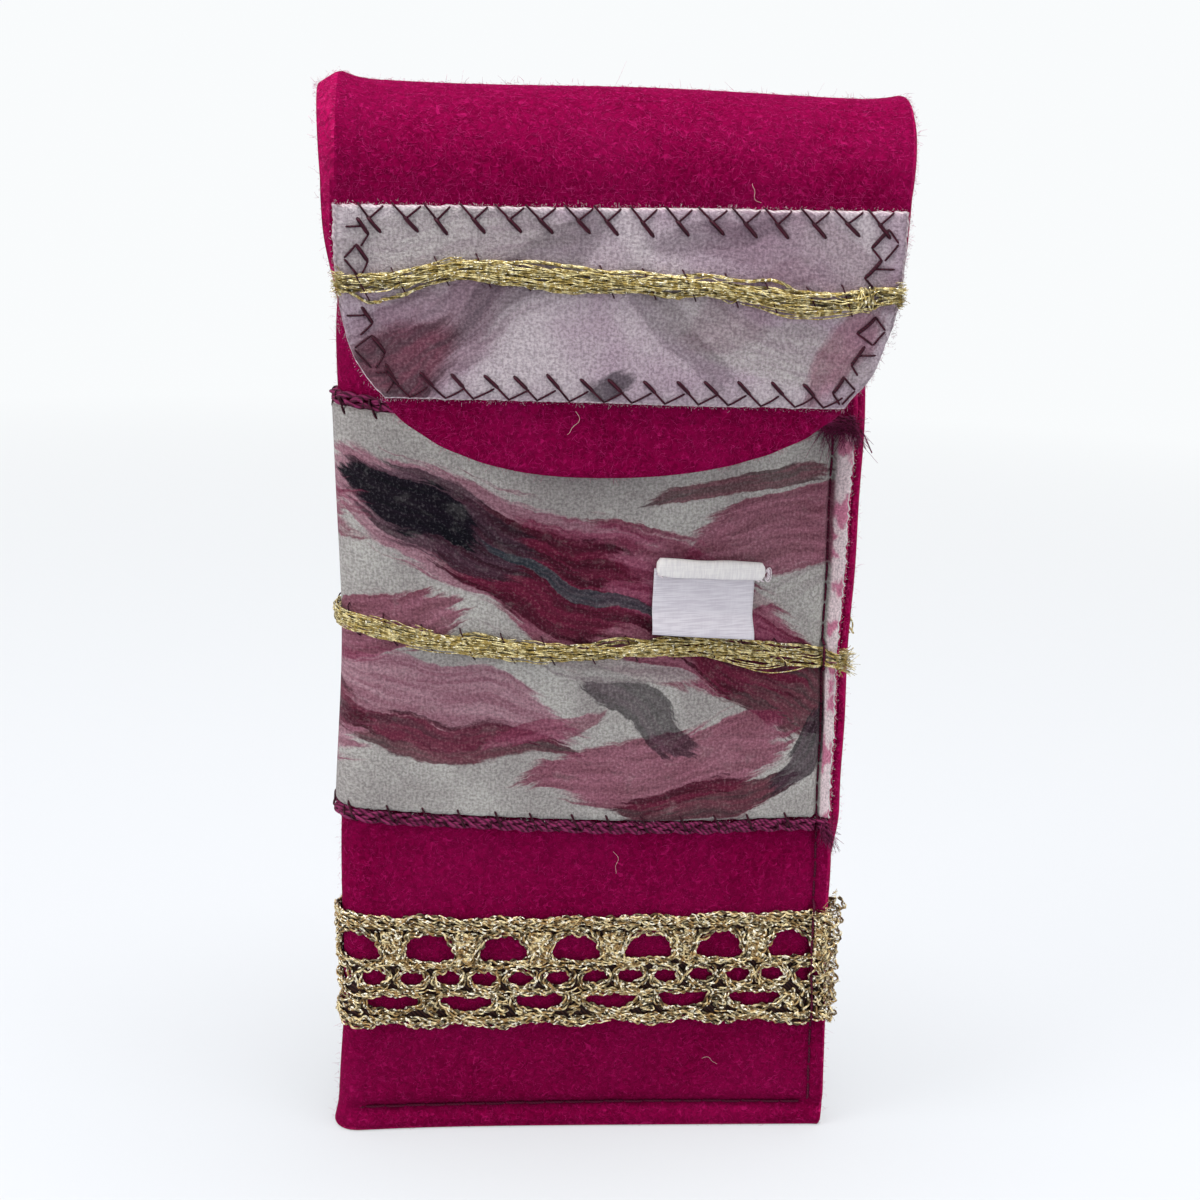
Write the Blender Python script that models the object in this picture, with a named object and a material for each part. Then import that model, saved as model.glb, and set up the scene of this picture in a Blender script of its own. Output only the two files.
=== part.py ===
"""Felt glasses case with a fold-over flap, standing on its bottom seam.

One thick felt blank makes the front, the left fold, the back and the flap. It is sewn along
the right side and the bottom. A velvet patch, gold yarn, plum yarn, a gold lace band and a
blank woven label are sewn on it, and a press stud closes the flap.

Metres, +Z up. The front faces -Y. The origin is the centre of the base of the bounding box.
"""

import math

import bmesh
import bpy
import numpy as np

MM = 0.001

# Felt blank
FELT_THICKNESS = 3.0 * MM
CASE_WIDTH = 91.0 * MM
CASE_HEIGHT = 188.0 * MM
MOUTH_DROP = 25.0 * MM
BACK_DEPTH = 13.2 * MM
FRONT_DEPTH = 8.5 * MM
LAYER_GAP = 0.3 * MM
SEAM_ALLOWANCE = 3.6 * MM
SEAM_DRAW_IN = 3.0 * MM
BOTTOM_SEAM_HEIGHT = 4.5 * MM
FOLD_RADIUS = 3.0 * MM
MOUTH_FOLD_RADIUS = 4.8 * MM
SEAM_CURL = math.radians(22.0)
BASE_SEAM_CURL = math.radians(9.0)

# Flap
FLAP_SIDE_REACH = 0.4 * MM
FLAP_DROP = 62.2 * MM
FLAP_SHOULDER_DROP = 33.0 * MM
FLAP_TIP_LEAN = 0.5 * MM
FLAP_TIP_SHIFT = -4.0 * MM
HINGE_ANGLES = [math.radians(30.0), math.radians(90.0), math.radians(150.0)]
HINGE_GAP = 0.36 * MM

# Clearance kept where one piece lies on another
REST_GAP = 0.3 * MM

# Velvet patches
VELVET_THICKNESS = 0.8 * MM
BODY_PATCH_BOTTOM = 62.8 * MM
BODY_PATCH_BELOW_MOUTH = 29.9 * MM
BODY_PATCH_TILT = 1.2 * MM
FLAP_PATCH_DROP = 18.2 * MM
FLAP_PATCH_HEIGHT = 31.4 * MM
FLAP_PATCH_INSET = 0.5 * MM

# Yarns laid on the velvet and along its edges
GOLD_YARN_WIDTH = 4.1 * MM
GOLD_YARN_THICKNESS = 1.5 * MM
GOLD_STRANDS = 3
BODY_YARN_PLACE_SHARE = 0.465
BODY_YARN_SWING = 4.4 * MM
FLAP_YARN_DROP = 12.2 * MM
FLAP_YARN_SWING = 2.6 * MM
YARN_OVERHANG = 0.9 * MM
PLUM_YARN_WIDTH = 2.6 * MM
PLUM_YARN_THICKNESS = 1.5 * MM
PLUM_STRANDS = 2
GROOVE_DEPTH = 0.45 * MM

# Gold lace band
LACE_BOTTOM = 22.0 * MM
LACE_THICKNESS = 0.9 * MM
LACE_TOP_ROW = 10.0 * MM
LACE_MIDDLE_ROW = 5.8 * MM
LACE_BOTTOM_ROW = 6.7 * MM
LACE_REPEATS = 14
LACE_SCALLOP = 0.7 * MM
LACE_FOLD_RISE = 0.5 * MM

# Thread
THREAD_WIDTH = 0.6 * MM
THREAD_THICKNESS = 0.45 * MM
FEATHER_PITCH = 5.4 * MM
FEATHER_DEPTH = 3.9 * MM
FEATHER_INSET = 1.2 * MM
SEAM_STITCH_PITCH = 4.1 * MM
COUCHING_PITCH = 7.0 * MM
COUCHING_OVERHANG = 0.6 * MM

# Woven label, bare
LABEL_LEFT = 7.6 * MM
LABEL_ABOVE_YARN = 1.65 * MM
LABEL_WIDTH = 18.4 * MM
LABEL_HEIGHT = 12.9 * MM
LABEL_FOLD_HEIGHT = 3.7 * MM
LABEL_THICKNESS = 0.45 * MM
LABEL_FOLD_THICKNESS = 1.0 * MM
LABEL_STITCH_LENGTH = 1.4 * MM

# Press stud under the flap
STUD_DROP = 42.0 * MM
STUD_RADIUS = 5.0 * MM
SOCKET_THICKNESS = 1.6 * MM
BALL_PLATE_THICKNESS = 1.0 * MM
BALL_RADIUS = 1.4 * MM
BALL_LENGTH = 1.0 * MM
BALL_CLEARANCE = 0.3 * MM
BALL_SHOULDER_SHARE = 0.6
BALL_TIP_SHARE = 0.7
SOCKET_RIM_WIDTH = 1.2 * MM
SOCKET_RIM_THICKNESS = 0.9 * MM
STUD_STITCHES = 4
STUD_STITCH_LENGTH = 1.9 * MM

# How the section bulges: full towards the fold, easing into the sewn edge
LEFT_BULGE_POWER = 2.4
RIGHT_BULGE_POWER = 1.5
BASE_FOLD_POWER = 6.0
MOUTH_FOLD_POWER = 1.0
FOLD_REACH_SHARE = 0.66
TONGUE_POWER = 2.3
SEAM_SHARE = 0.955

# Columns of the felt from the fold to the sewn edge, and points along each stretch
COLUMN_SHARES = (
    0.0, 0.013, 0.027, 0.043, 0.062, 0.09, 0.15, 0.25, 0.36, 0.48, 0.60, 0.71, 0.81, 0.89,
    SEAM_SHARE, 0.978, 1.0,
)
BODY_ROW_SHARES = (0.0, 0.06, 0.12, 0.18, 0.25, 0.35, 0.46, 0.57, 0.68, 0.78, 0.88, 1.0)
PATCH_ROWS = 5
CURVE_STEPS = 48
ROUND_SIDES = 24

# The yarns' waves: (share of the half turn from fold to edge, share of the swing)
BODY_YARN_WAVE_SHARES = (
    (-1.0, 0.1), (-0.7, -0.3), (-0.35, 0.2), (0.0, 0.75), (0.16, 0.1), (0.42, -0.28),
    (0.68, 0.02), (0.85, -0.6), (1.0, -1.0),
)
FLAP_YARN_WAVE_SHARES = (
    (-1.0, -0.35), (-0.85, -0.5), (-0.58, 0.75), (-0.3, 0.35), (0.0, 0.1), (0.3, 0.1),
    (0.6, -0.75), (0.85, -0.55), (1.0, -0.05),
)

# Lace holes: (share of the repeat, share of the row) round each hole, anticlockwise from its
# lower left corner, matched one for one to the points round the cell
TOP_HOLE_SHARES = (
    (0.19, 0.10), (0.35, 0.07), (0.50, 0.07), (0.65, 0.07), (0.81, 0.10), (0.79, 0.32),
    (0.70, 0.47), (0.62, 0.53), (0.50, 0.55), (0.38, 0.53), (0.30, 0.47), (0.21, 0.32),
)
MIDDLE_HOLE_SHARES = (
    (0.25, 0.36), (0.50, 0.27), (0.75, 0.36), (0.84, 0.50), (0.75, 0.66), (0.50, 0.75),
    (0.25, 0.66), (0.16, 0.50),
)
BOTTOM_HOLE_SHARES = (
    (0.26, 0.60), (0.38, 0.53), (0.50, 0.50), (0.62, 0.53), (0.74, 0.60), (0.84, 0.75),
    (0.80, 0.92), (0.64, 0.89), (0.50, 0.87), (0.36, 0.89), (0.20, 0.92), (0.16, 0.75),
)

MOUTH_HEIGHT = CASE_HEIGHT - MOUTH_DROP
FLAP_WIDTH = CASE_WIDTH + 2 * FLAP_SIDE_REACH
FLAP_TIP_HEIGHT = CASE_HEIGHT - FLAP_DROP
FLAP_SHOULDER_HEIGHT = CASE_HEIGHT - FLAP_SHOULDER_DROP
FLAP_PATCH_TOP = CASE_HEIGHT - FLAP_PATCH_DROP
FLAP_PATCH_BOTTOM = FLAP_PATCH_TOP - FLAP_PATCH_HEIGHT
FLAP_YARN_HEIGHT = FLAP_PATCH_TOP - FLAP_YARN_DROP
BODY_PATCH_HEIGHT = MOUTH_HEIGHT - BODY_PATCH_BELOW_MOUTH - BODY_PATCH_BOTTOM
BODY_YARN_HEIGHT = BODY_PATCH_BOTTOM + BODY_YARN_PLACE_SHARE * BODY_PATCH_HEIGHT
LABEL_BOTTOM = BODY_YARN_HEIGHT + GOLD_YARN_WIDTH / 2 + LABEL_ABOVE_YARN
STUD_HEIGHT = CASE_HEIGHT - STUD_DROP
LACE_HEIGHT = LACE_BOTTOM_ROW + LACE_MIDDLE_ROW + LACE_TOP_ROW

HALF_FELT = FELT_THICKNESS / 2
LAYER_OFFSET = HALF_FELT + LAYER_GAP / 2
LEFT_EDGE = -CASE_WIDTH / 2 + HALF_FELT
ON_FELT = HALF_FELT + REST_GAP
ON_VELVET = ON_FELT + VELVET_THICKNESS + REST_GAP
STUD_STACK = SOCKET_THICKNESS + BALL_PLATE_THICKNESS + 3 * REST_GAP

# The yarn round the fold reaches further left than the flap's yarn reaches right
FOLD_REACH = CASE_WIDTH / 2 + ON_VELVET - HALF_FELT + GOLD_YARN_THICKNESS + REST_GAP
FLAP_REACH = FLAP_WIDTH / 2 + YARN_OVERHANG
SIDE_SHIFT = (FOLD_REACH + THREAD_THICKNESS - FLAP_REACH) / 2


def ease(low, high, share):
    """A value between low and high."""
    return low + (high - low) * share


def climb(z):
    """0 up to the bottom seam, rising to 1 where the flap's bend starts."""
    return min(max((z - BOTTOM_SEAM_HEIGHT) / (bend_centre()[1] - BOTTOM_SEAM_HEIGHT), 0.0), 1.0)


def swell(z):
    """How far the middle of a panel has left the seam plane, levelling off upwards."""
    return math.sin(0.5 * math.pi * climb(z))


def front_middle(z, bend_height):
    """Distance of the front panel's mid-surface from the seam plane, at its middle."""
    share = (z - BOTTOM_SEAM_HEIGHT) / (bend_height - BOTTOM_SEAM_HEIGHT)
    return ease(LAYER_OFFSET, FRONT_DEPTH, math.sin(0.5 * math.pi * share))


def flap_lean(z, bend_height):
    """How far the flap has come back towards the body at height z."""
    return FLAP_TIP_LEAN * ((bend_height - z) / (bend_height - FLAP_TIP_HEIGHT)) ** 2


def bend_radius():
    """Mid-surface radius of the bend, from the depth that the closed press stud needs."""
    bend_height = CASE_HEIGHT - HALF_FELT - BACK_DEPTH
    stud_depth = front_middle(STUD_HEIGHT, bend_height) + HALF_FELT + STUD_STACK + HALF_FELT
    return (BACK_DEPTH + stud_depth + flap_lean(STUD_HEIGHT, bend_height)) / 2


def bend_centre():
    """(y, z) of the bend's centre, y from the seam plane."""
    radius = bend_radius()
    return BACK_DEPTH - radius, CASE_HEIGHT - HALF_FELT - radius


def seam_plane_y():
    """Where the seam plane stands so that the origin is midway between front and back."""
    front = bend_radius() - bend_centre()[0] + ON_VELVET + GOLD_YARN_THICKNESS
    back = BACK_DEPTH + HALF_FELT
    return (front - back) / 2


def bulge(s):
    """The panel's bulge across its width, s from -1 at the fold to 1 at the sewn edge."""
    left = 1 - np.abs(s) ** LEFT_BULGE_POWER
    right = (1 - np.clip(s, 0, 1) ** 2) ** RIGHT_BULGE_POWER
    return np.where(s < 0, left, right)


def seam_x(z):
    """Where the side seam's stitching runs: nearer the middle as the pouch fills out."""
    return CASE_WIDTH / 2 - SEAM_ALLOWANCE - SEAM_DRAW_IN * climb(z)


def seam_edge(z, side):
    """Mid-surface of one layer over the seam allowance, from the stitching outwards. The
    allowance curls forwards, and the back layer's corner reaches the case's full width."""
    curl = ease(BASE_SEAM_CURL, SEAM_CURL, math.sin(math.pi * climb(z)))
    turn = np.linspace(0, curl, CURVE_STEPS // 4)
    reach = CASE_WIDTH / 2 - seam_x(z)
    radius = reach / math.sin(curl) - LAYER_OFFSET - HALF_FELT
    seam_y = (BACK_DEPTH - LAYER_OFFSET) * climb(z) ** 2
    x = seam_x(z) + (radius + side * LAYER_OFFSET) * np.sin(turn)
    y = seam_y - radius + (radius + side * LAYER_OFFSET) * np.cos(turn)
    return np.column_stack([x, y])


def panel(z, side):
    """Mid-surface of the front (side -1) or back (side 1) from the fold to the stitching."""
    radius = ease(FOLD_RADIUS, MOUTH_FOLD_RADIUS, swell(z))
    fold_back = ease(FOLD_RADIUS, BACK_DEPTH, climb(z) ** 2)
    fold_y = fold_back if side > 0 else fold_back - 2 * radius
    seam_y = (BACK_DEPTH - LAYER_OFFSET) * climb(z) ** 2 + side * LAYER_OFFSET
    s = np.linspace(-1, 1, CURVE_STEPS)
    near_fold = ((1 - s) / 2) ** ease(BASE_FOLD_POWER, MOUTH_FOLD_POWER, swell(z))
    base = seam_y + (fold_y - seam_y) * near_fold
    middle = ease(LAYER_OFFSET, BACK_DEPTH if side > 0 else FRONT_DEPTH, swell(z))
    base_middle = np.interp(0.0, s, base)
    y = base + (side * middle - base_middle) * bulge(s)
    x = ease(LEFT_EDGE + radius, seam_x(z), (s + 1) / 2)
    return np.column_stack([x, y])


def fold(front, back):
    """Smooth turn that joins the panels' left ends, from the front round to the back."""
    start, end = front[0], back[0]
    reach = FOLD_REACH_SHARE * (end[1] - start[1])
    leave = (front[0] - front[1]) / np.linalg.norm(front[0] - front[1])
    arrive = (back[0] - back[1]) / np.linalg.norm(back[0] - back[1])
    t = np.linspace(0, 1, CURVE_STEPS // 2 + 1)[:, None]
    first, second = start + leave * reach, end + arrive * reach
    return (
        start * (1 - t) ** 3
        + 3 * first * t * (1 - t) ** 2
        + 3 * second * t**2 * (1 - t)
        + end * t**3
    )


def lengths_along(points):
    """Distance along a line of points, from its first."""
    steps = np.linalg.norm(np.diff(points, axis=0), axis=1)
    return np.concatenate([[0.0], np.cumsum(steps)])


def half_section(z, side):
    """One side of the section at height z with each point's share: 0 at the middle of the
    fold, SEAM_SHARE at the stitching and 1 at the cut edge."""
    front, back = panel(z, -1), panel(z, 1)
    turn = fold(front, back)
    middle = len(turn) // 2
    start = turn[middle:] if side > 0 else turn[middle::-1]
    inner = np.vstack([start, (back if side > 0 else front)[1:]])
    inner_share = lengths_along(inner) / lengths_along(inner)[-1] * SEAM_SHARE
    edge = seam_edge(z, side)[1:]
    edge_share = ease(SEAM_SHARE, 1.0, np.arange(1, len(edge) + 1) / len(edge))
    return np.vstack([inner, edge]), np.concatenate([inner_share, edge_share])


SECTIONS = {}
LACE_SHARES = {}


def section(z):
    """Mid-surface and outward normals round the body at height z: shares run from -1 at the
    back's cut edge through 0 at the fold to 1 at the front's cut edge."""
    key = round(z, 8)
    if key not in SECTIONS:
        back, back_share = half_section(z, 1)
        front, front_share = half_section(z, -1)
        points = np.vstack([back[::-1], front[1:]])
        shares = np.concatenate([-back_share[::-1], front_share[1:]])
        along = np.gradient(points, axis=0)
        normals = np.column_stack([-along[:, 1], along[:, 0]])
        normals /= np.linalg.norm(normals, axis=1)[:, None]
        SECTIONS[key] = shares, points, -normals
    return SECTIONS[key]


def body_point(share, z, offset):
    """Point on the felt body, offset outwards from its mid-surface, level with z."""
    shares, points, normals = section(z)
    x, y = (np.interp(share, shares, points[:, k]) for k in (0, 1))
    nx, ny = (np.interp(share, shares, normals[:, k]) for k in (0, 1))
    size = math.hypot(nx, ny)
    return (x + offset * nx / size, y + offset * ny / size + seam_plane_y(), z)


def stand_off(low_share, high_share, z):
    """How far a straight run between two shares stands off the curved surface midway."""
    middle = (low_share + high_share) / 2
    low, high, surface, above = (
        np.array(body_point(share, z, offset)) for share, offset in
        ((low_share, ON_FELT), (high_share, ON_FELT), (middle, ON_FELT), (middle, ON_VELVET)))
    outwards = (above - surface) / np.linalg.norm(above - surface)
    return float(np.dot((low + high) / 2 - surface, outwards))


def share_at(x, z):
    """The share of the front panel at a distance x from the middle plane."""
    shares, points, _ = section(z)
    front = (shares > 0) & (shares < SEAM_SHARE)
    order = np.argsort(points[front, 0])
    return float(np.interp(x, points[front, 0][order], shares[front][order]))


def upper_back_point(share, z, offset):
    """Above the mouth the back opens out flat, to the straight line where the bend starts."""
    flat = (z - MOUTH_HEIGHT) / (bend_centre()[1] - MOUTH_HEIGHT)
    flat = flat * flat * (3 - 2 * flat)
    x, y, _ = body_point(share, z, offset)
    straight_x = ease(-FLAP_WIDTH / 2, FLAP_WIDTH / 2, -share)
    straight_y = BACK_DEPTH + offset + seam_plane_y()
    return ease(x, straight_x, flat), ease(y, straight_y, flat), z


def bend_point(x, angle, offset):
    """Point on the flap's bend: angle 0 at the back, 90 degrees on top, 180 at the front."""
    centre_y, centre_z = bend_centre()
    radius = bend_radius() + offset
    return (
        x,
        centre_y + radius * math.cos(angle) + seam_plane_y(),
        centre_z + radius * math.sin(angle),
    )


def flap_point(x, z, offset):
    """Point on the hanging part of the flap, offset forwards from its mid-surface."""
    centre_y, centre_z = bend_centre()
    y = centre_y - bend_radius() + flap_lean(z, centre_z)
    return x, y - offset + seam_plane_y(), z


def tongue_bottom(x):
    """Height of the flap's cut edge at x: straight sides, then a broad tongue."""
    drop = FLAP_SHOULDER_HEIGHT - FLAP_TIP_HEIGHT
    half = FLAP_WIDTH / 2
    level = FLAP_SHOULDER_HEIGHT
    for _ in range(12):
        fall = (FLAP_SHOULDER_HEIGHT - level) / drop
        across = min(abs(x - FLAP_TIP_SHIFT * fall**2 * (1 - abs(x) / half)) / half, 1.0)
        level = FLAP_SHOULDER_HEIGHT - drop * math.sqrt(1 - across**TONGUE_POWER)
    return level


PALETTE = {
    "felt": ((0.40, 0.006, 0.10, 1.0), 0.95, 0.0),
    "velvet": ((0.55, 0.40, 0.42, 1.0), 0.80, 0.0),
    "gold_yarn": ((0.60, 0.48, 0.22, 1.0), 0.38, 0.9),
    "gold_lace": ((0.56, 0.43, 0.20, 1.0), 0.42, 0.9),
    "plum_yarn": ((0.22, 0.02, 0.09, 1.0), 0.75, 0.0),
    "thread": ((0.09, 0.008, 0.03, 1.0), 0.60, 0.0),
    "label": ((0.80, 0.78, 0.80, 1.0), 0.55, 0.0),
    "nickel": ((0.62, 0.61, 0.58, 1.0), 0.30, 1.0),
}


def material(slot):
    """The slot's material, made once."""
    made = bpy.data.materials.get(slot)
    if made is None:
        made = bpy.data.materials.new(slot)
        made.use_nodes = True
        shader = made.node_tree.nodes["Principled BSDF"]
        colour, roughness, metallic = PALETTE[slot]
        shader.inputs["Base Color"].default_value = colour
        shader.inputs["Roughness"].default_value = roughness
        shader.inputs["Metallic"].default_value = metallic
    return made


def add_object(name, mesh, slot, parent=None):
    """Links a finished bmesh as one named object, its faces turned outwards."""
    bmesh.ops.recalc_face_normals(mesh, faces=mesh.faces)
    data = bpy.data.meshes.new(name)
    mesh.to_mesh(data)
    mesh.free()
    data.shade_smooth()
    data.set_sharp_from_angle(angle=math.radians(35))
    data.materials.append(material(slot))
    made = bpy.data.objects.new(name, data)
    bpy.context.scene.collection.objects.link(made)
    if parent is not None:
        made.parent = parent
        made.matrix_parent_inverse = parent.matrix_world.inverted()
    return made


def slab(mesh, outer, inner):
    """A closed sheet between two equal grids of points. A None leaves that place out."""
    rows, columns = len(outer), len(outer[0])
    corners = {}
    for side, grid in enumerate((outer, inner)):
        for i in range(rows):
            for j in range(columns):
                if grid[i][j] is not None:
                    corners[side, i, j] = mesh.verts.new(grid[i][j])
    edges = {}
    for i in range(rows - 1):
        for j in range(columns - 1):
            ring = [(i, j), (i, j + 1), (i + 1, j + 1), (i + 1, j)]
            if any((0, *place) not in corners for place in ring):
                continue
            mesh.faces.new([corners[(0, *place)] for place in ring])
            mesh.faces.new([corners[(1, *place)] for place in reversed(ring)])
            for a, b in zip(ring, ring[1:] + ring[:1]):
                key = frozenset((a, b))
                edges[key] = None if key in edges else (a, b)
    for pair in edges.values():
        if pair is not None:
            a, b = pair
            mesh.faces.new([corners[(side, *place)] for side, place in
                            ((0, b), (0, a), (1, a), (1, b))])
    for vert in [v for v in mesh.verts if not v.link_faces]:
        mesh.verts.remove(vert)


def sweep(mesh, rings):
    """A closed solid through equal rings of points, capped at both ends."""
    loops = [[mesh.verts.new(point) for point in ring] for ring in rings]
    for one, two in zip(loops, loops[1:]):
        for k in range(len(one)):
            after = (k + 1) % len(one)
            mesh.faces.new([one[k], one[after], two[after], two[k]])
    mesh.faces.new(loops[0][::-1])
    mesh.faces.new(loops[-1])


def thread(name, point_at, places, width, parent=None):
    """A flat thread laid through (across, z, offset) places, its section upright at each."""
    mesh = bmesh.new()
    rings = []
    for a, b, low in places:
        high = low + THREAD_THICKNESS
        rings.append([point_at(a, b - width / 2, low), point_at(a, b + width / 2, low),
                      point_at(a, b + width / 2, high), point_at(a, b - width / 2, high)])
    sweep(mesh, rings)
    return add_object(name, mesh, "thread", parent)


def steep_width(pitch, depth):
    """Upright width of a zigzag thread whose legs rise by depth in half a pitch."""
    return THREAD_WIDTH * math.hypot(pitch / 2, depth) / (pitch / 2)


def body_rows(low, high, count):
    """Evenly spaced heights."""
    return [ease(low, high, k / count) for k in range(count + 1)]


def round_shares(shares):
    """Shares from the back's cut edge round the fold to the front's."""
    return [-share for share in reversed(shares)] + list(shares[1:])


def make_felt_body():
    """Front, left fold and back in one sheet, with the back running up into the bend."""
    shares = round_shares(COLUMN_SHARES)
    centre_z = bend_centre()[1]
    levels = [0.0] + [ease(BOTTOM_SEAM_HEIGHT, MOUTH_HEIGHT, row) for row in BODY_ROW_SHARES]
    grids = {}
    for offset in (HALF_FELT, -HALF_FELT):
        rows = [[body_point(share, z, offset) for share in shares] for z in levels]
        for z in body_rows(MOUTH_HEIGHT, centre_z, 3)[1:]:
            rows.append([upper_back_point(share, z, offset) if share <= 0 else None
                         for share in shares])
        outer_radius = bend_radius() + HALF_FELT
        last = HINGE_ANGLES[0] - HINGE_GAP / 2 / outer_radius
        for angle in (last / 2, last):
            rows.append([bend_point(upper_back_point(share, centre_z, offset)[0], angle, offset)
                         if share <= 0 else None for share in shares])
        grids[offset] = rows
    mesh = bmesh.new()
    slab(mesh, grids[HALF_FELT], grids[-HALF_FELT])
    return add_object("felt_body", mesh, "felt")


def hinge_empty(index, parent):
    """An empty on one of the bend's hinge lines, on the felt's outer face."""
    made = bpy.data.objects.new(f"hinge_line_{index + 1}", None)
    bpy.context.scene.collection.objects.link(made)
    made.location = bend_point(0.0, HINGE_ANGLES[index], HALF_FELT)
    if parent is not None:
        made.location = made.location - parent.matrix_world.translation
        made.parent = parent
    bpy.context.view_layer.update()
    return made


def make_fold_strip(name, start, end, parent):
    """One stretch of the bend between two hinge lines."""
    share_of_gap = HINGE_GAP / 2 / (bend_radius() + HALF_FELT)
    angles = body_rows(start + share_of_gap, end - share_of_gap, 4)
    across = body_rows(-FLAP_WIDTH / 2, FLAP_WIDTH / 2, 6)
    mesh = bmesh.new()
    slab(mesh, *[[[bend_point(x, angle, offset) for x in across] for angle in angles]
                 for offset in (HALF_FELT, -HALF_FELT)])
    return add_object(name, mesh, "felt", parent)


def flap_columns(half, count):
    """Distances across the flap, close together where the tongue's edge turns."""
    return [half * math.sin(0.5 * math.pi * k / count) for k in range(-count, count + 1)]


def make_flap_panel(parent):
    """The end of the bend and the hanging flap with its tongue."""
    centre_z = bend_centre()[1]
    start = HINGE_ANGLES[2] + HINGE_GAP / 2 / (bend_radius() + HALF_FELT)
    columns = flap_columns(FLAP_WIDTH / 2, 9)
    grids = []
    for offset in (HALF_FELT, -HALF_FELT):
        rows = [[bend_point(x, angle, offset) for x in columns]
                for angle in body_rows(start, math.pi, 2)]
        for share in body_rows(0.0, 1.0, 6)[1:]:
            rows.append([flap_point(x, ease(centre_z, tongue_bottom(x), share), offset)
                         for x in columns])
        grids.append(rows)
    mesh = bmesh.new()
    slab(mesh, *grids)
    return add_object("flap_panel", mesh, "felt", parent)


def patch_bottom(share):
    """The body patch hangs a little lower at the sewn edge than at the fold."""
    return BODY_PATCH_BOTTOM + BODY_PATCH_TILT * (1 - 2 * abs(share))


def make_body_patch():
    """Velvet round the body, from the front's sewn edge round the fold to the back's."""
    shares = round_shares(COLUMN_SHARES)
    mesh = bmesh.new()
    slab(mesh, *[[[body_point(share, patch_bottom(share) + rise, offset) for share in shares]
                  for rise in body_rows(0.0, BODY_PATCH_HEIGHT, PATCH_ROWS)]
                 for offset in (ON_FELT + VELVET_THICKNESS, ON_FELT)])
    return add_object("body_velvet_patch", mesh, "velvet")


def make_flap_patch(parent):
    """Velvet on the flap, cut to the tongue at its lower corners."""
    columns = flap_columns(FLAP_WIDTH / 2 - FLAP_PATCH_INSET, 9)
    grids = []
    for offset in (ON_FELT + VELVET_THICKNESS, ON_FELT):
        grids.append([[
            flap_point(x, ease(FLAP_PATCH_TOP, flap_patch_bottom(x), share), offset)
            for x in columns] for share in body_rows(0.0, 1.0, 5)])
    mesh = bmesh.new()
    slab(mesh, *grids)
    return add_object("flap_velvet_patch", mesh, "velvet", parent)


def flap_patch_bottom(x):
    """Lower edge of the flap's patch."""
    return max(FLAP_PATCH_BOTTOM, tongue_bottom(x) + FLAP_PATCH_INSET)


def strand_ring(width, low, high, strands):
    """Section of a band of strands, as (across, offset): flat below, a ridge a strand."""
    ring = [(-width / 2, low), (width / 2, low)]
    count = 2 * strands + 1
    for k in range(count):
        across = ease(width / 2, -width / 2, k / (count - 1))
        ring.append((across, high if k % 2 else high - GROOVE_DEPTH))
    return ring


def wave(shares, place, swing):
    """The yarn's height above its own line at a place along it."""
    table = np.array(shares)
    fine = np.linspace(table[0, 0], table[-1, 0], 81)
    heights = np.interp(fine, table[:, 0], table[:, 1])
    padded = np.pad(heights, 6, mode="edge")
    smooth = np.convolve(padded, np.ones(7) / 7, mode="same")[6:-6]
    return float(np.interp(place, fine, smooth)) * swing


def make_body_band(name, slot, height_at, width, low, thickness, strands, stations):
    """A band of yarn laid round the body at height_at(share)."""
    ring = strand_ring(width, low, low + thickness, strands)
    mesh = bmesh.new()
    sweep(mesh, [[body_point(share, height_at(share) + across, offset) for across, offset in ring]
                 for share in stations])
    return add_object(name, mesh, slot)


def body_yarn_height(share):
    return BODY_YARN_HEIGHT + wave(BODY_YARN_WAVE_SHARES, share, BODY_YARN_SWING)


def top_plum_height(share):
    return patch_bottom(share) + BODY_PATCH_HEIGHT + REST_GAP + PLUM_YARN_WIDTH / 2


def bottom_plum_height(share):
    return patch_bottom(share) - REST_GAP - PLUM_YARN_WIDTH / 2


def flap_yarn_height(x):
    return FLAP_YARN_HEIGHT + wave(FLAP_YARN_WAVE_SHARES, x / (FLAP_WIDTH / 2), FLAP_YARN_SWING)


def make_flap_yarn(parent):
    """Gold yarn across the flap's patch, its ends standing a little past the felt."""
    ring = strand_ring(GOLD_YARN_WIDTH, ON_VELVET, ON_VELVET + GOLD_YARN_THICKNESS, GOLD_STRANDS)
    reach = FLAP_WIDTH / 2 + YARN_OVERHANG
    mesh = bmesh.new()
    sweep(mesh, [[flap_point(x, flap_yarn_height(x) + across, offset) for across, offset in ring]
                 for x in body_rows(-reach, reach, 24)])
    return add_object("flap_gold_yarn", mesh, "gold_yarn", parent)


def cell_ring(left, right, bottom, top, across):
    """Points round a cell, anticlockwise from its lower left corner, in quarters of a repeat
    along its level edges and with one point midway up each side."""
    lower = [(ease(left, right, k / across), bottom) for k in range(across + 1)]
    upper = [(ease(right, left, k / across), top) for k in range(across + 1)]
    middle = ease(bottom, top, 0.5)
    return lower + [(right, middle)] + upper + [(left, middle)]


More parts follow.
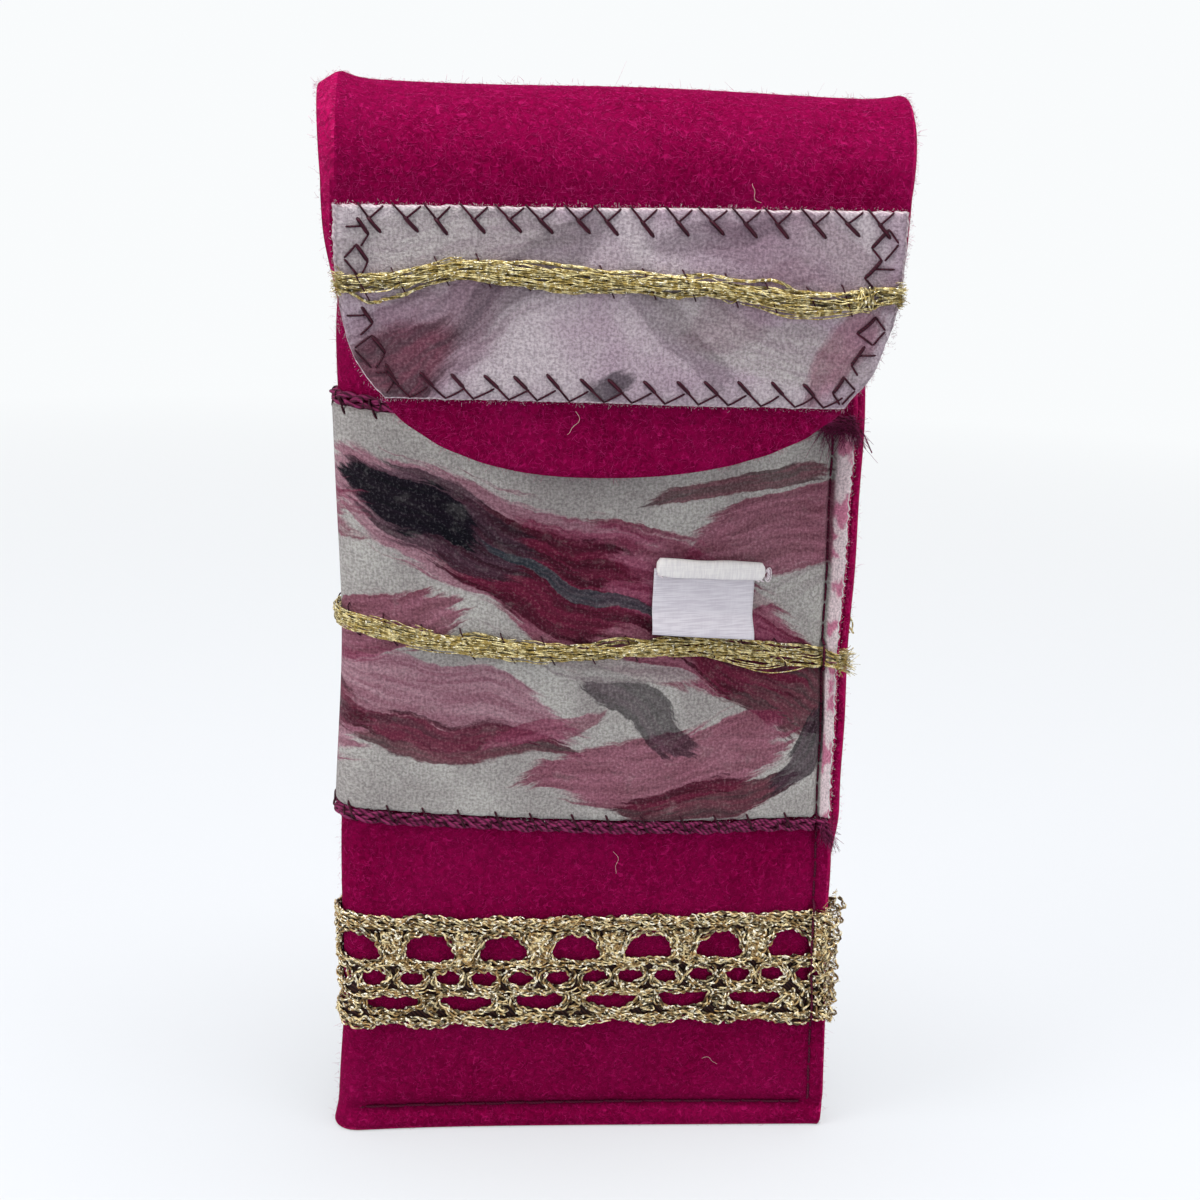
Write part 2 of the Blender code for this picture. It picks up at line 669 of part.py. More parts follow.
def lace_cells():
    """(cell ring, hole ring) pairs in repeats along the band and height above its bottom."""
    low, middle = LACE_BOTTOM_ROW, LACE_BOTTOM_ROW + LACE_MIDDLE_ROW
    high = middle + LACE_TOP_ROW
    cells = []
    for repeat in range(LACE_REPEATS):
        rows = [(repeat, repeat + 1, middle, high, 4, TOP_HOLE_SHARES)]
        rows += [(repeat + k / 2, repeat + (k + 1) / 2, low, middle, 2, MIDDLE_HOLE_SHARES)
                 for k in (0, 1)]
        if repeat < LACE_REPEATS - 1:
            rows.append((repeat + 0.5, repeat + 1.5, 0.0, low, 4, BOTTOM_HOLE_SHARES))
        for left, right, bottom, top, across, shares in rows:
            hole = [(ease(left, right, a), ease(bottom, top, b)) for a, b in shares]
            cells.append((cell_ring(left, right, bottom, top, across), hole))
    for left in (0.0, LACE_REPEATS - 0.5):
        cells.append(([(left, 0.0), (left + 0.25, 0.0), (left + 0.5, 0.0), (left + 0.5, low / 2),
                       (left + 0.5, low), (left + 0.25, low), (left, low), (left, low / 2)], None))
    return cells


def share_along(fraction, z, offset):
    """The share at a fraction of the way round the body, measured at the offset."""
    shares = section(z)[0]
    points = np.array([body_point(share, z, offset) for share in shares])
    lengths = lengths_along(points)
    return float(np.interp(fraction * lengths[-1], lengths, shares))


def lace_point(along, up, offset):
    """A place on the lace, with its scalloped upper and lower edges."""
    key = round(along, 5)
    if key not in LACE_SHARES:
        middle = LACE_BOTTOM + LACE_HEIGHT / 2
        LACE_SHARES[key] = share_along(along / LACE_REPEATS, middle, ON_FELT)
    share = LACE_SHARES[key]
    edge = abs(2 * up / LACE_HEIGHT - 1) ** 4
    outwards = math.copysign(1, up - LACE_HEIGHT / 2)
    scallop = LACE_SCALLOP * edge * math.cos(2 * math.pi * along) * outwards
    z = LACE_BOTTOM + up - scallop
    rise = LACE_FOLD_RISE * min(max(3 - abs(share) * LACE_REPEATS, 0.0), 1.0)
    return body_point(share, z, offset + rise)


def make_lace():
    """Openwork band round the body: large, small and large holes in three rows."""
    mesh = bmesh.new()
    made = {}

    def corner(place, offset):
        key = (round(place[0], 5), round(place[1], 7), offset)
        if key not in made:
            made[key] = mesh.verts.new(lace_point(*place, offset))
        return made[key]

    offsets = (ON_FELT, ON_FELT + LACE_THICKNESS)
    edges = {}
    for cell, hole in lace_cells():
        count = len(cell)
        if hole is None:
            quads = [cell]
        else:
            quads = [[cell[k], cell[(k + 1) % count], hole[(k + 1) % count], hole[k]]
                     for k in range(count)]
        for quad in quads:
            for offset, ring in ((offsets[1], quad), (offsets[0], quad[::-1])):
                mesh.faces.new([corner(place, offset) for place in ring])
            for a, b in zip(quad, quad[1:] + quad[:1]):
                key = frozenset(((round(a[0], 5), round(a[1], 7)), (round(b[0], 5), round(b[1], 7))))
                edges[key] = None if key in edges else (a, b)
    for pair in edges.values():
        if pair is not None:
            a, b = pair
            mesh.faces.new([corner(b, offsets[1]), corner(a, offsets[1]),
                            corner(a, offsets[0]), corner(b, offsets[0])])
    return add_object("gold_lace_band", mesh, "gold_lace")


def feather_places(start, end, base, inward):
    """Zigzag between a patch's edge, at height base, and a line further in."""
    count = max(int(abs(end - start) / FEATHER_PITCH), 1) * 2
    places = []
    for k in range(count + 1):
        depth = FEATHER_DEPTH if k % 2 else 0.0
        places.append((ease(start, end, k / count), base + inward * depth, ON_VELVET))
    return places


def corner_reach():
    """Half the straight length of the flap patch's lower edge."""
    reach = FLAP_WIDTH / 2
    while tongue_bottom(reach) + FLAP_PATCH_INSET > FLAP_PATCH_BOTTOM and reach > 0:
        reach -= FLAP_PATCH_INSET
    return reach


def make_flap_stitches(parent):
    """Feather stitching along the upper and lower edges of the flap's patch."""
    reach = FLAP_WIDTH / 2 - FLAP_PATCH_INSET - FEATHER_INSET
    upper = feather_places(-reach, reach, FLAP_PATCH_TOP - FEATHER_INSET, -1)
    reach = corner_reach() - FEATHER_INSET
    lower = feather_places(-reach, reach, FLAP_PATCH_BOTTOM + FEATHER_INSET, 1)
    width = steep_width(FEATHER_PITCH, FEATHER_DEPTH)
    thread("flap_upper_feather_stitch", flap_point, upper, width, parent)
    thread("flap_lower_feather_stitch", flap_point, lower, width, parent)


def side_cover(z, side):
    """Offset at which the side seam's thread clears whatever crosses the seam at height z."""
    share = side * SEAM_SHARE
    lace_low, lace_high = LACE_BOTTOM, LACE_BOTTOM + LACE_HEIGHT
    lace_step = 0.5 / LACE_REPEATS
    valley = max(stand_off(side * (1 - 2 * lace_step), side * (1 - lace_step), z), 0.0)
    covers = [
        (lace_low - LACE_SCALLOP, lace_high + LACE_SCALLOP, ON_FELT + LACE_THICKNESS + valley),
        (patch_bottom(share), patch_bottom(share) + BODY_PATCH_HEIGHT,
         ON_FELT + VELVET_THICKNESS),
        (body_yarn_height(share) - GOLD_YARN_WIDTH / 2,
         body_yarn_height(share) + GOLD_YARN_WIDTH / 2, ON_VELVET + GOLD_YARN_THICKNESS),
    ]
    for height in (top_plum_height(share), bottom_plum_height(share)):
        covers.append((height - PLUM_YARN_WIDTH / 2, height + PLUM_YARN_WIDTH / 2,
                       ON_FELT + PLUM_YARN_THICKNESS))
    offset = ON_FELT
    for low, high, top in covers:
        if low - THREAD_WIDTH - REST_GAP < z < high + THREAD_WIDTH + REST_GAP:
            offset = max(offset, top + REST_GAP)
    return offset


def make_side_thread(name, side):
    """Running stitch up the sewn edge, over everything that is caught in the seam."""
    top = MOUTH_HEIGHT - SEAM_STITCH_PITCH
    low = BOTTOM_SEAM_HEIGHT + SEAM_STITCH_PITCH
    steps = int((top - low) / (SEAM_STITCH_PITCH / 4))
    levels = body_rows(low, top, steps)
    offsets = [side_cover(z, side) for z in levels]
    keep = [k for k in range(steps + 1)
            if k in (0, steps) or k % 16 == 0 or offsets[k] != offsets[k - 1]
            or offsets[k] != offsets[k + 1]]
    half = THREAD_WIDTH / CASE_WIDTH / 2
    rings = []
    for k in keep:
        low = offsets[k]
        high = low + THREAD_THICKNESS
        share = side * SEAM_SHARE
        rings.append([body_point(share - half, levels[k], low),
                      body_point(share + half, levels[k], low),
                      body_point(share + half, levels[k], high),
                      body_point(share - half, levels[k], high)])
    mesh = bmesh.new()
    sweep(mesh, rings)
    return add_object(name, mesh, "thread")


def make_bottom_thread(name, side):
    """Running stitch along the bottom seam, from the fold to the sewn edge."""
    first = FOLD_RADIUS * math.pi / CASE_WIDTH
    stations = [first] + [share for share in COLUMN_SHARES if first < share <= SEAM_SHARE]
    places = [(side * share, BOTTOM_SEAM_HEIGHT, ON_FELT) for share in stations]
    return thread(name, body_point, places, THREAD_WIDTH)


def make_body_couching(name, height_at, width, low, thickness):
    """Zigzag thread that holds a yarn down, over the yarn from edge to edge."""
    last = SEAM_SHARE - THREAD_WIDTH * 4 / CASE_WIDTH
    reach = width / 2 + COUCHING_OVERHANG
    count = int(2 * last * CASE_WIDTH / COUCHING_PITCH) * 2
    turns = [ease(-last, last, k / count) for k in range(count + 1)]
    sides = [reach if k % 2 else -reach for k in range(count + 1)]
    apart = THREAD_WIDTH / CASE_WIDTH
    between = [share for share in round_shares(COLUMN_SHARES)
               if abs(share) < last and min(abs(share - turn) for turn in turns) > apart]
    top = low + thickness + REST_GAP
    places = [(share, height_at(share) + float(np.interp(share, turns, sides)), top)
              for share in sorted(turns + between)]
    return thread(name, body_point, places, steep_width(COUCHING_PITCH, 2 * reach))


def make_flap_couching(parent):
    """Zigzag thread that holds the flap's gold yarn down."""
    reach = GOLD_YARN_WIDTH / 2 + COUCHING_OVERHANG
    end = FLAP_WIDTH / 2 - COUCHING_OVERHANG
    count = int(2 * end / COUCHING_PITCH) * 2
    places = []
    for k in range(count + 1):
        x = ease(-end, end, k / count)
        places.append((x, flap_yarn_height(x) + (reach if k % 2 else -reach),
                       ON_VELVET + GOLD_YARN_THICKNESS + REST_GAP))
    return thread("flap_yarn_couching", flap_point, places,
                  steep_width(COUCHING_PITCH, 2 * reach), parent)


def front_point(x, z, offset):
    """Point on the front panel at a distance x from the middle plane."""
    return body_point(share_at(x, z), z, offset)


def make_label():
    """Blank woven label: a ribbon doubled over at its top and hanging flat below."""
    shoulder = LABEL_HEIGHT - LABEL_FOLD_HEIGHT
    low = ON_VELVET
    mesh = bmesh.new()
    rings = []
    for x in body_rows(LABEL_LEFT, LABEL_LEFT + LABEL_WIDTH, 6):
        profile = [(0.0, 0.0), (shoulder, 0.0), (LABEL_HEIGHT, 0.0),
                   (LABEL_HEIGHT, LABEL_FOLD_THICKNESS), (shoulder, LABEL_FOLD_THICKNESS),
                   (shoulder, LABEL_THICKNESS), (0.0, LABEL_THICKNESS)]
        rings.append([front_point(x, LABEL_BOTTOM + up, low + out) for up, out in profile])
    sweep(mesh, rings)
    return add_object("blank_label", mesh, "label")


def make_label_stitches():
    """Two stitches that hold the label's doubled top to the velvet."""
    middle = LABEL_BOTTOM + LABEL_HEIGHT - LABEL_FOLD_HEIGHT / 2
    top = ON_VELVET + LABEL_FOLD_THICKNESS + REST_GAP
    inset = LABEL_STITCH_LENGTH
    for name, x in (("left", LABEL_LEFT + inset), ("right", LABEL_LEFT + LABEL_WIDTH - inset)):
        places = [(x - LABEL_STITCH_LENGTH / 2, middle, top),
                  (x + LABEL_STITCH_LENGTH / 2, middle, top)]
        thread(f"label_stitch_{name}", front_point, places, THREAD_WIDTH)


def disc_ring(radius, y, centre_z):
    """A circle facing -Y."""
    return [(radius * math.cos(a), y, centre_z + radius * math.sin(a))
            for a in np.linspace(0, 2 * math.pi, ROUND_SIDES, endpoint=False)]


def turned(mesh, profile, centre_z):
    """A ring-shaped solid turned about a line along Y, from (radius, y) points in order."""
    loops = [[mesh.verts.new(point) for point in disc_ring(radius, y, centre_z)]
             for radius, y in profile]
    for one, two in zip(loops, loops[1:] + loops[:1]):
        for k in range(ROUND_SIDES):
            after = (k + 1) % ROUND_SIDES
            mesh.faces.new([one[k], one[after], two[after], two[k]])


def capped(mesh, profile, centre_z):
    """A solid turned about a line along Y, closed at both ends."""
    sweep(mesh, [disc_ring(radius, y, centre_z) for radius, y in profile])


def make_socket():
    """Press stud socket on the front panel: a disc with a raised rim round its hole."""
    face = -front_middle(STUD_HEIGHT, bend_centre()[1]) - HALF_FELT + seam_plane_y()
    back = face - REST_GAP
    front = back - SOCKET_THICKNESS
    rim_back = front + SOCKET_RIM_THICKNESS
    hole = BALL_RADIUS + BALL_CLEARANCE
    mesh = bmesh.new()
    turned(mesh, [(hole, back), (STUD_RADIUS, back), (STUD_RADIUS, rim_back),
                  (hole + SOCKET_RIM_WIDTH, rim_back), (hole + SOCKET_RIM_WIDTH, front),
                  (hole, front)], STUD_HEIGHT)
    add_object("press_stud_socket", mesh, "nickel")
    make_stud_stitches("socket", rim_back, face, 0.0)


def make_ball_half(parent):
    """Press stud ball half inside the flap: a disc with a ball that enters the socket."""
    centre_z = bend_centre()[1]
    inner_face = flap_point(0.0, STUD_HEIGHT, -HALF_FELT)[1]
    front = inner_face + REST_GAP
    back = front + BALL_PLATE_THICKNESS
    mesh = bmesh.new()
    tip = back + BALL_LENGTH
    capped(mesh, [(STUD_RADIUS, front), (STUD_RADIUS, back), (BALL_RADIUS, back),
                  (BALL_RADIUS, ease(back, tip, BALL_SHOULDER_SHARE)),
                  (BALL_RADIUS * BALL_TIP_SHARE, tip)], STUD_HEIGHT)
    add_object("press_stud_ball", mesh, "nickel", parent)
    make_stud_stitches("ball", back, inner_face, 0.5, parent)


def make_stud_stitches(name, plate, felt, turn, parent=None):
    """Stitches over a stud half's edge, from the face of its plate down to the felt."""
    away = math.copysign(1, plate - felt)
    low, high = plate + away * REST_GAP, plate + away * (REST_GAP + THREAD_THICKNESS)
    foot = felt + away * REST_GAP
    edge = STUD_RADIUS + REST_GAP
    path = ((edge - STUD_STITCH_LENGTH, low, edge - STUD_STITCH_LENGTH, high),
            (edge, low, edge + THREAD_THICKNESS, high),
            (edge, foot, edge + THREAD_THICKNESS, foot))
    for k in range(STUD_STITCHES):
        angle = 2 * math.pi * (k + turn) / STUD_STITCHES
        out = np.array([math.cos(angle), math.sin(angle)])
        side = np.array([-out[1], out[0]]) * THREAD_WIDTH / 2
        rings = []
        for under, under_y, over, over_y in path:
            corners = ((-1, under, under_y), (1, under, under_y), (1, over, over_y),
                       (-1, over, over_y))
            rings.append([(out[0] * radius + sign * side[0], y,
                           STUD_HEIGHT + out[1] * radius + sign * side[1])
                          for sign, radius, y in corners])
        mesh = bmesh.new()
        sweep(mesh, rings)
        add_object(f"{name}_stitch_{k + 1}", mesh, "thread", parent)


def clear_scene():
    """Empties the scene."""
    for made in list(bpy.data.objects):
        bpy.data.objects.remove(made)


def main():
    clear_scene()
    first = hinge_empty(0, None)
    second = hinge_empty(1, first)
    third = hinge_empty(2, second)
    make_felt_body()
    make_fold_strip("flap_fold_back", HINGE_ANGLES[0], HINGE_ANGLES[1], first)
    make_fold_strip("flap_fold_front", HINGE_ANGLES[1], HINGE_ANGLES[2], second)
    make_flap_panel(third)
    make_body_patch()
    make_flap_patch(third)
    stations = round_shares(COLUMN_SHARES)
    make_body_band("body_gold_yarn", "gold_yarn", body_yarn_height, GOLD_YARN_WIDTH, ON_VELVET,
                   GOLD_YARN_THICKNESS, GOLD_STRANDS, stations)
    make_body_band("top_plum_yarn", "plum_yarn", top_plum_height, PLUM_YARN_WIDTH, ON_FELT,
                   PLUM_YARN_THICKNESS, PLUM_STRANDS, stations)
    make_body_band("bottom_plum_yarn", "plum_yarn", bottom_plum_height, PLUM_YARN_WIDTH, ON_FELT,
                   PLUM_YARN_THICKNESS, PLUM_STRANDS, stations)
    make_flap_yarn(third)
    make_lace()
    make_flap_stitches(third)
    make_side_thread("side_seam_thread_front", 1)
    make_side_thread("side_seam_thread_back", -1)
    make_bottom_thread("bottom_seam_thread_front", 1)
    make_bottom_thread("bottom_seam_thread_back", -1)
    make_body_couching("body_yarn_couching", body_yarn_height, GOLD_YARN_WIDTH, ON_VELVET,
                       GOLD_YARN_THICKNESS)
    make_body_couching("top_plum_couching", top_plum_height, PLUM_YARN_WIDTH, ON_FELT,
                       PLUM_YARN_THICKNESS)
    make_body_couching("bottom_plum_couching", bottom_plum_height, PLUM_YARN_WIDTH, ON_FELT,
                       PLUM_YARN_THICKNESS)
    make_flap_couching(third)
    make_label()
    make_label_stitches()
    make_socket()
    make_ball_half(third)
    for made in bpy.data.objects:
        if made.parent is None:
            made.location.x += SIDE_SHIFT


main()
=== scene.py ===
"""Looks of the felt glasses case: felt, printed velvet, lace, yarns, stitching, label, stud.

Lengths are in millimetres until a mesh is made. The shape repeats the part's own source.
"""

import math

import bpy
import numpy as np
from mathutils import Matrix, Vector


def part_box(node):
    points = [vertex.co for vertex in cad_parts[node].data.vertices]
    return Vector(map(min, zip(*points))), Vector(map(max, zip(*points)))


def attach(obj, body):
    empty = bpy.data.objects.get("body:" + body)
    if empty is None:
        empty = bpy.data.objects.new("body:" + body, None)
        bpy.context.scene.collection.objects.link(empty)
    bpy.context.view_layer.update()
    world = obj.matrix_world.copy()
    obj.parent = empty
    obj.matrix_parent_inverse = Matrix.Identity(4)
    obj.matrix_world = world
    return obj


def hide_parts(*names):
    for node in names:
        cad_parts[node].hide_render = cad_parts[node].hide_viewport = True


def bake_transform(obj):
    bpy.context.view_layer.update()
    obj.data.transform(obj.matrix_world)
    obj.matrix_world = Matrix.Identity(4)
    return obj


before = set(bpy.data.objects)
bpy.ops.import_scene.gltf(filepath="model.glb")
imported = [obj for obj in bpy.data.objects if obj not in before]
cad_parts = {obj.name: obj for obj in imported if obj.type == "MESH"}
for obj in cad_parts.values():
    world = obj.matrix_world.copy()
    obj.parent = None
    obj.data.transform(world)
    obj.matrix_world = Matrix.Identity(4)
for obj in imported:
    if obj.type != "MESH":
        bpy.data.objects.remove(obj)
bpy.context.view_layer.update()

MM = 0.001
RANDOM = np.random.default_rng(7)

# The felt blank, as the part's source has it
HALF_FELT = 1.5
CASE_WIDTH = 91.0
MOUTH = 163.0
BACK_DEPTH = 13.2
FRONT_DEPTH = 8.5
LAYER_OFFSET = 1.65
SEAM_ALLOWANCE = 3.6
SEAM_DRAW_IN = 3.0
BOTTOM_SEAM = 4.5
FOLD_RADIUS = 3.0
MOUTH_FOLD_RADIUS = 4.8
SEAM_CURL = math.radians(22.0)
BASE_SEAM_CURL = math.radians(9.0)
SEAM_SHARE = 0.955
LEFT_EDGE = -CASE_WIDTH / 2 + HALF_FELT
# Millimetres of felt to one share of the way round, along the walls and past the cut edges
SHARE_LENGTH = 95
EDGE_LENGTH = 110
BEND_RADIUS = 14.0727
BEND_Y = -0.87265
BEND_Z = 172.42735
SEAM_PLANE = 2.32265
SIDE_SHIFT = 1.175
FLAP_HALF = 45.9
FLAP_TIP = 125.8
FLAP_SHOULDER = 155.0
FLAP_TIP_LEAN = 0.5
FLAP_TIP_SHIFT = -4.0
ON_FELT = 1.8

# Trimmings
PATCH_BOTTOM = 62.8
PATCH_HEIGHT = 70.3
PATCH_TILT = 1.2
FLAP_PATCH_TOP = 169.6
FLAP_PATCH_BOTTOM = 138.4
YARN_HEIGHT = 95.49
FLAP_YARN_HEIGHT = 157.6
LACE_BOTTOM = 22.0
LACE_ROWS = (6.7, 5.8, 10.0)
LACE_REPEATS = 14
LABEL_LEFT, LABEL_RIGHT, LABEL_BOTTOM, LABEL_TOP = 7.7, 25.6, 99.0, 109.2

RIM = 0.7
SEAM_DIP = 0.8
FLARE = (1.35, 1.0)
FLARE_WIDTH = 7.0
FLARE_POWER = 2.6
LEFT_SLANT = 1.0
CORNER_REACH = 1.4
FLAP_INSET = 1.1
FOOT_CORNER = 1.4
# How far the right edge and the left fold stand out of line, by height
EDGE_TRIM = ((0, 0.6), (16, 0.7), (26, 0.3), (46, 0.35), (56, -0.1), (66, -0.6), (82, -0.5),
             (98, 0.0), (180, 0.0))
FOLD_TRIM = ((0, 0.0), (14, 0.0), (25, 0.9), (95, 0.9), (114, 0.4), (126, 0.1), (136, -0.4),
             (143, -1.2), (152, -1.6), (162, -0.5), (170, 0.0), (180, 0.0))


def ease(low, high, share):
    return low + (high - low) * share


def smooth(x):
    x = np.clip(x, 0, 1)
    return x * x * (3 - 2 * x)


def unit(v):
    return v / np.maximum(np.linalg.norm(v, axis=-1, keepdims=True), 1e-12)


def together(*values):
    """The values as arrays of one shape."""
    return np.broadcast_arrays(*(np.asarray(v, float) for v in values))


# the felt's shape


def climb(z):
    return float(np.clip((z - BOTTOM_SEAM) / (BEND_Z - BOTTOM_SEAM), 0, 1))


def swell(z):
    return math.sin(0.5 * math.pi * climb(z))


def bulge(s):
    left = 1 - np.abs(s) ** 2.4
    right = (1 - np.clip(s, 0, 1) ** 2) ** 1.5
    return np.where(s < 0, left, right)


def seam_x(z):
    return CASE_WIDTH / 2 - SEAM_ALLOWANCE - SEAM_DRAW_IN * climb(z)


def seam_edge(z, side):
    curl = ease(BASE_SEAM_CURL, SEAM_CURL, math.sin(math.pi * climb(z)))
    turn = np.linspace(0, curl, 12)
    reach = CASE_WIDTH / 2 - seam_x(z)
    radius = reach / math.sin(curl) - LAYER_OFFSET - HALF_FELT
    seam_y = (BACK_DEPTH - LAYER_OFFSET) * climb(z) ** 2
    x = seam_x(z) + (radius + side * LAYER_OFFSET) * np.sin(turn)
    y = seam_y - radius + (radius + side * LAYER_OFFSET) * np.cos(turn)
    return np.column_stack([x, y])


def panel(z, side):
    radius = ease(FOLD_RADIUS, MOUTH_FOLD_RADIUS, swell(z))
    fold_back = ease(FOLD_RADIUS, BACK_DEPTH, climb(z) ** 2)
    fold_y = fold_back if side > 0 else fold_back - 2 * radius
    seam_y = (BACK_DEPTH - LAYER_OFFSET) * climb(z) ** 2 + side * LAYER_OFFSET
    s = np.linspace(-1, 1, 48)
    near_fold = ((1 - s) / 2) ** ease(6.0, 1.0, swell(z))
    base = seam_y + (fold_y - seam_y) * near_fold
    middle = ease(LAYER_OFFSET, BACK_DEPTH if side > 0 else FRONT_DEPTH, swell(z))
    y = base + (side * middle - np.interp(0.0, s, base)) * bulge(s)
    x = ease(LEFT_EDGE + radius, seam_x(z), (s + 1) / 2)
    return np.column_stack([x, y])


def fold(front, back):
    start, end = front[0], back[0]
    reach = 0.66 * (end[1] - start[1])
    t = np.linspace(0, 1, 25)[:, None]
    first = start + unit(front[0] - front[1]) * reach
    second = end + unit(back[0] - back[1]) * reach
    return (start * (1 - t) ** 3 + 3 * first * t * (1 - t) ** 2
            + 3 * second * t ** 2 * (1 - t) + end * t ** 3)


def lengths_along(points):
    steps = np.linalg.norm(np.diff(points, axis=0), axis=1)
    return np.concatenate([[0.0], np.cumsum(steps)])


def half_section(z, side):
    front, back = panel(z, -1), panel(z, 1)
    turn = fold(front, back)
    middle = len(turn) // 2
    start = turn[middle:] if side > 0 else turn[middle::-1]
    inner = np.vstack([start, (back if side > 0 else front)[1:]])
    inner_share = lengths_along(inner) / lengths_along(inner)[-1] * SEAM_SHARE
    edge = seam_edge(z, side)[1:]
    edge_share = ease(SEAM_SHARE, 1.0, np.arange(1, len(edge) + 1) / len(edge))
    return np.vstack([inner, edge]), np.concatenate([inner_share, edge_share])


def section_table(levels, shares):
    """x, y, normal x and normal y at every (level, share)."""
    rows = []
    for z in levels:
        back, back_share = half_section(z, 1)
        front, front_share = half_section(z, -1)
        points = np.vstack([back[::-1], front[1:]])
        at = np.concatenate([-back_share[::-1], front_share[1:]])
        along = np.gradient(points, axis=0)
        normals = unit(np.column_stack([along[:, 1], -along[:, 0]]))
        x, y, nx, ny = (np.interp(shares, at, column) for column in
                        (points[:, 0], points[:, 1], normals[:, 0], normals[:, 1]))
        size = np.hypot(nx, ny)
        nx, ny = nx / size, ny / size
        if z > MOUTH:
            flat = np.where(shares <= 0, smooth((z - MOUTH) / (BEND_Z - MOUTH)), 0)
            x = ease(x, ease(-FLAP_HALF, FLAP_HALF, -shares), flat)
            y, nx, ny = ease(y, BACK_DEPTH, flat), ease(nx, 0, flat), ease(ny, 1, flat)
        rows.append(np.column_stack([x, y, nx, ny]))
    return np.array(rows)


LEVELS = np.linspace(0, BEND_Z, 346)
SHARES = np.linspace(-1, 1, 801)
TABLE = section_table(LEVELS, SHARES)


def wave(table, place):
    """A smooth line past the (place, height) rows of a table."""
    fine = np.linspace(table[0][0], table[-1][0], 81)
    heights = np.interp(fine, *np.transpose(table))
    even = np.convolve(np.pad(heights, 6, mode="edge"), np.ones(7) / 7, mode="same")[6:-6]
    return np.interp(place, fine, even)


def wobble(x, z):
    """Unevenness of hand-sewn felt, gone where the bend starts."""
    fade = smooth((BEND_Z - z) / 30) * smooth(z / 6)
    side = 0.30 * np.sin(z / 9.5 + 0.7) + 0.16 * np.sin(z / 4.3 + 2.0)
    dx = np.where(x > 0, side, 0.6 * np.sin(z / 12.0)) * np.abs(x) / 45 * fade * 0.8
    dy = 0.30 * np.sin(x / 13 + 0.4) * np.sin(z / 17 + 1.0) * fade
    foot = 0.6 * np.exp(-(z / 2.4) ** 2) * smooth((-x - 37) / 6)
    trim = wave(EDGE_TRIM, z) * smooth((x - 38) / 5) + wave(FOLD_TRIM, z) * smooth((-x - 28) / 14)
    return dx - foot + trim, dy


def body_points(share, z, offset):
    """Points on the felt body, offset outwards from its mid-surface."""
    share, z, offset = together(share, z, offset)
    inside = np.clip(share, -1, 1)
    i = np.clip(z / (LEVELS[1] - LEVELS[0]), 0, len(LEVELS) - 1.001)
    j = np.clip((inside + 1) / (SHARES[1] - SHARES[0]), 0, len(SHARES) - 1.001)
    i0, j0 = i.astype(int), j.astype(int)
    fi, fj = (i - i0)[..., None], (j - j0)[..., None]
    value = ((TABLE[i0, j0] * (1 - fj) + TABLE[i0, j0 + 1] * fj) * (1 - fi)
             + (TABLE[i0 + 1, j0] * (1 - fj) + TABLE[i0 + 1, j0 + 1] * fj) * fi)
    x, y, nx, ny = (value[..., k] for k in range(4))
    beyond = (share - inside) * EDGE_LENGTH
    dx, dy = wobble(x, z)
    return np.stack([x + offset * nx - beyond * ny + SIDE_SHIFT + dx,
                     y + offset * ny + beyond * nx + SEAM_PLANE + dy, z], axis=-1)


def share_at(x, z):
    """The share of the front panel at a distance x from the middle plane."""
    row = TABLE[int(round(z / (LEVELS[1] - LEVELS[0])))]
    front = (SHARES > 0.02) & (SHARES <= 1)
    return np.interp(x, row[front, 0], SHARES[front])


def round_length(z, offset=0.0):
    """Lengths round the body at height z, by share."""
    return lengths_along(body_points(SHARES, z, offset))


def near_end(x, most):
    """0 up to where the felt starts to curl, and 1 at its cut ends."""
    return np.clip((np.abs(x) - (FLAP_HALF - FLARE_WIDTH)) / FLARE_WIDTH, 0, most)


def flare(x, reach):
    """How far the felt's cut ends curl outwards, and their turn; reach is 1 over the bend."""
    size = np.where(x < 0, FLARE[0], FLARE[1]) * reach
    near = near_end(x, 1.1)
    slope = FLARE_POWER * size * near ** (FLARE_POWER - 1) / FLARE_WIDTH
    return size * near ** FLARE_POWER, np.arctan(slope)


def slanted(x, out, turn, offset):
    """How far a point near a cut end lies beyond x, where the felt curls."""
    slant = np.where(x < 0, LEFT_SLANT, 0.0) * out * (HALF_FELT - offset) / (2 * HALF_FELT)
    return np.sign(x) * (0.25 * out - offset * np.sin(turn) + slant)


def bend_points(x, angle, offset):
    """Points on the bend: angle 0 at the back, 90 degrees on top, 180 at the front."""
    x, angle, offset = together(x, angle, offset)
    out, turn = flare(x, smooth(angle / math.radians(70)))
    ripple = 0.25 * np.sin(x / 11 + 1.0) * np.sin(angle) ** 2
    radius = BEND_RADIUS + offset * np.cos(turn) + out + ripple
    inner = (HALF_FELT - offset) / (2 * HALF_FELT)
    corner = np.where(x < 0, -CORNER_REACH * inner, CORNER_REACH)
    corner = corner * near_end(x, 1) ** 2 * np.sin(angle)
    return np.stack([x + corner + slanted(x, out, turn, offset) + SIDE_SHIFT,
                     BEND_Y + radius * np.cos(angle) + SEAM_PLANE,
                     BEND_Z + radius * np.sin(angle)], axis=-1)


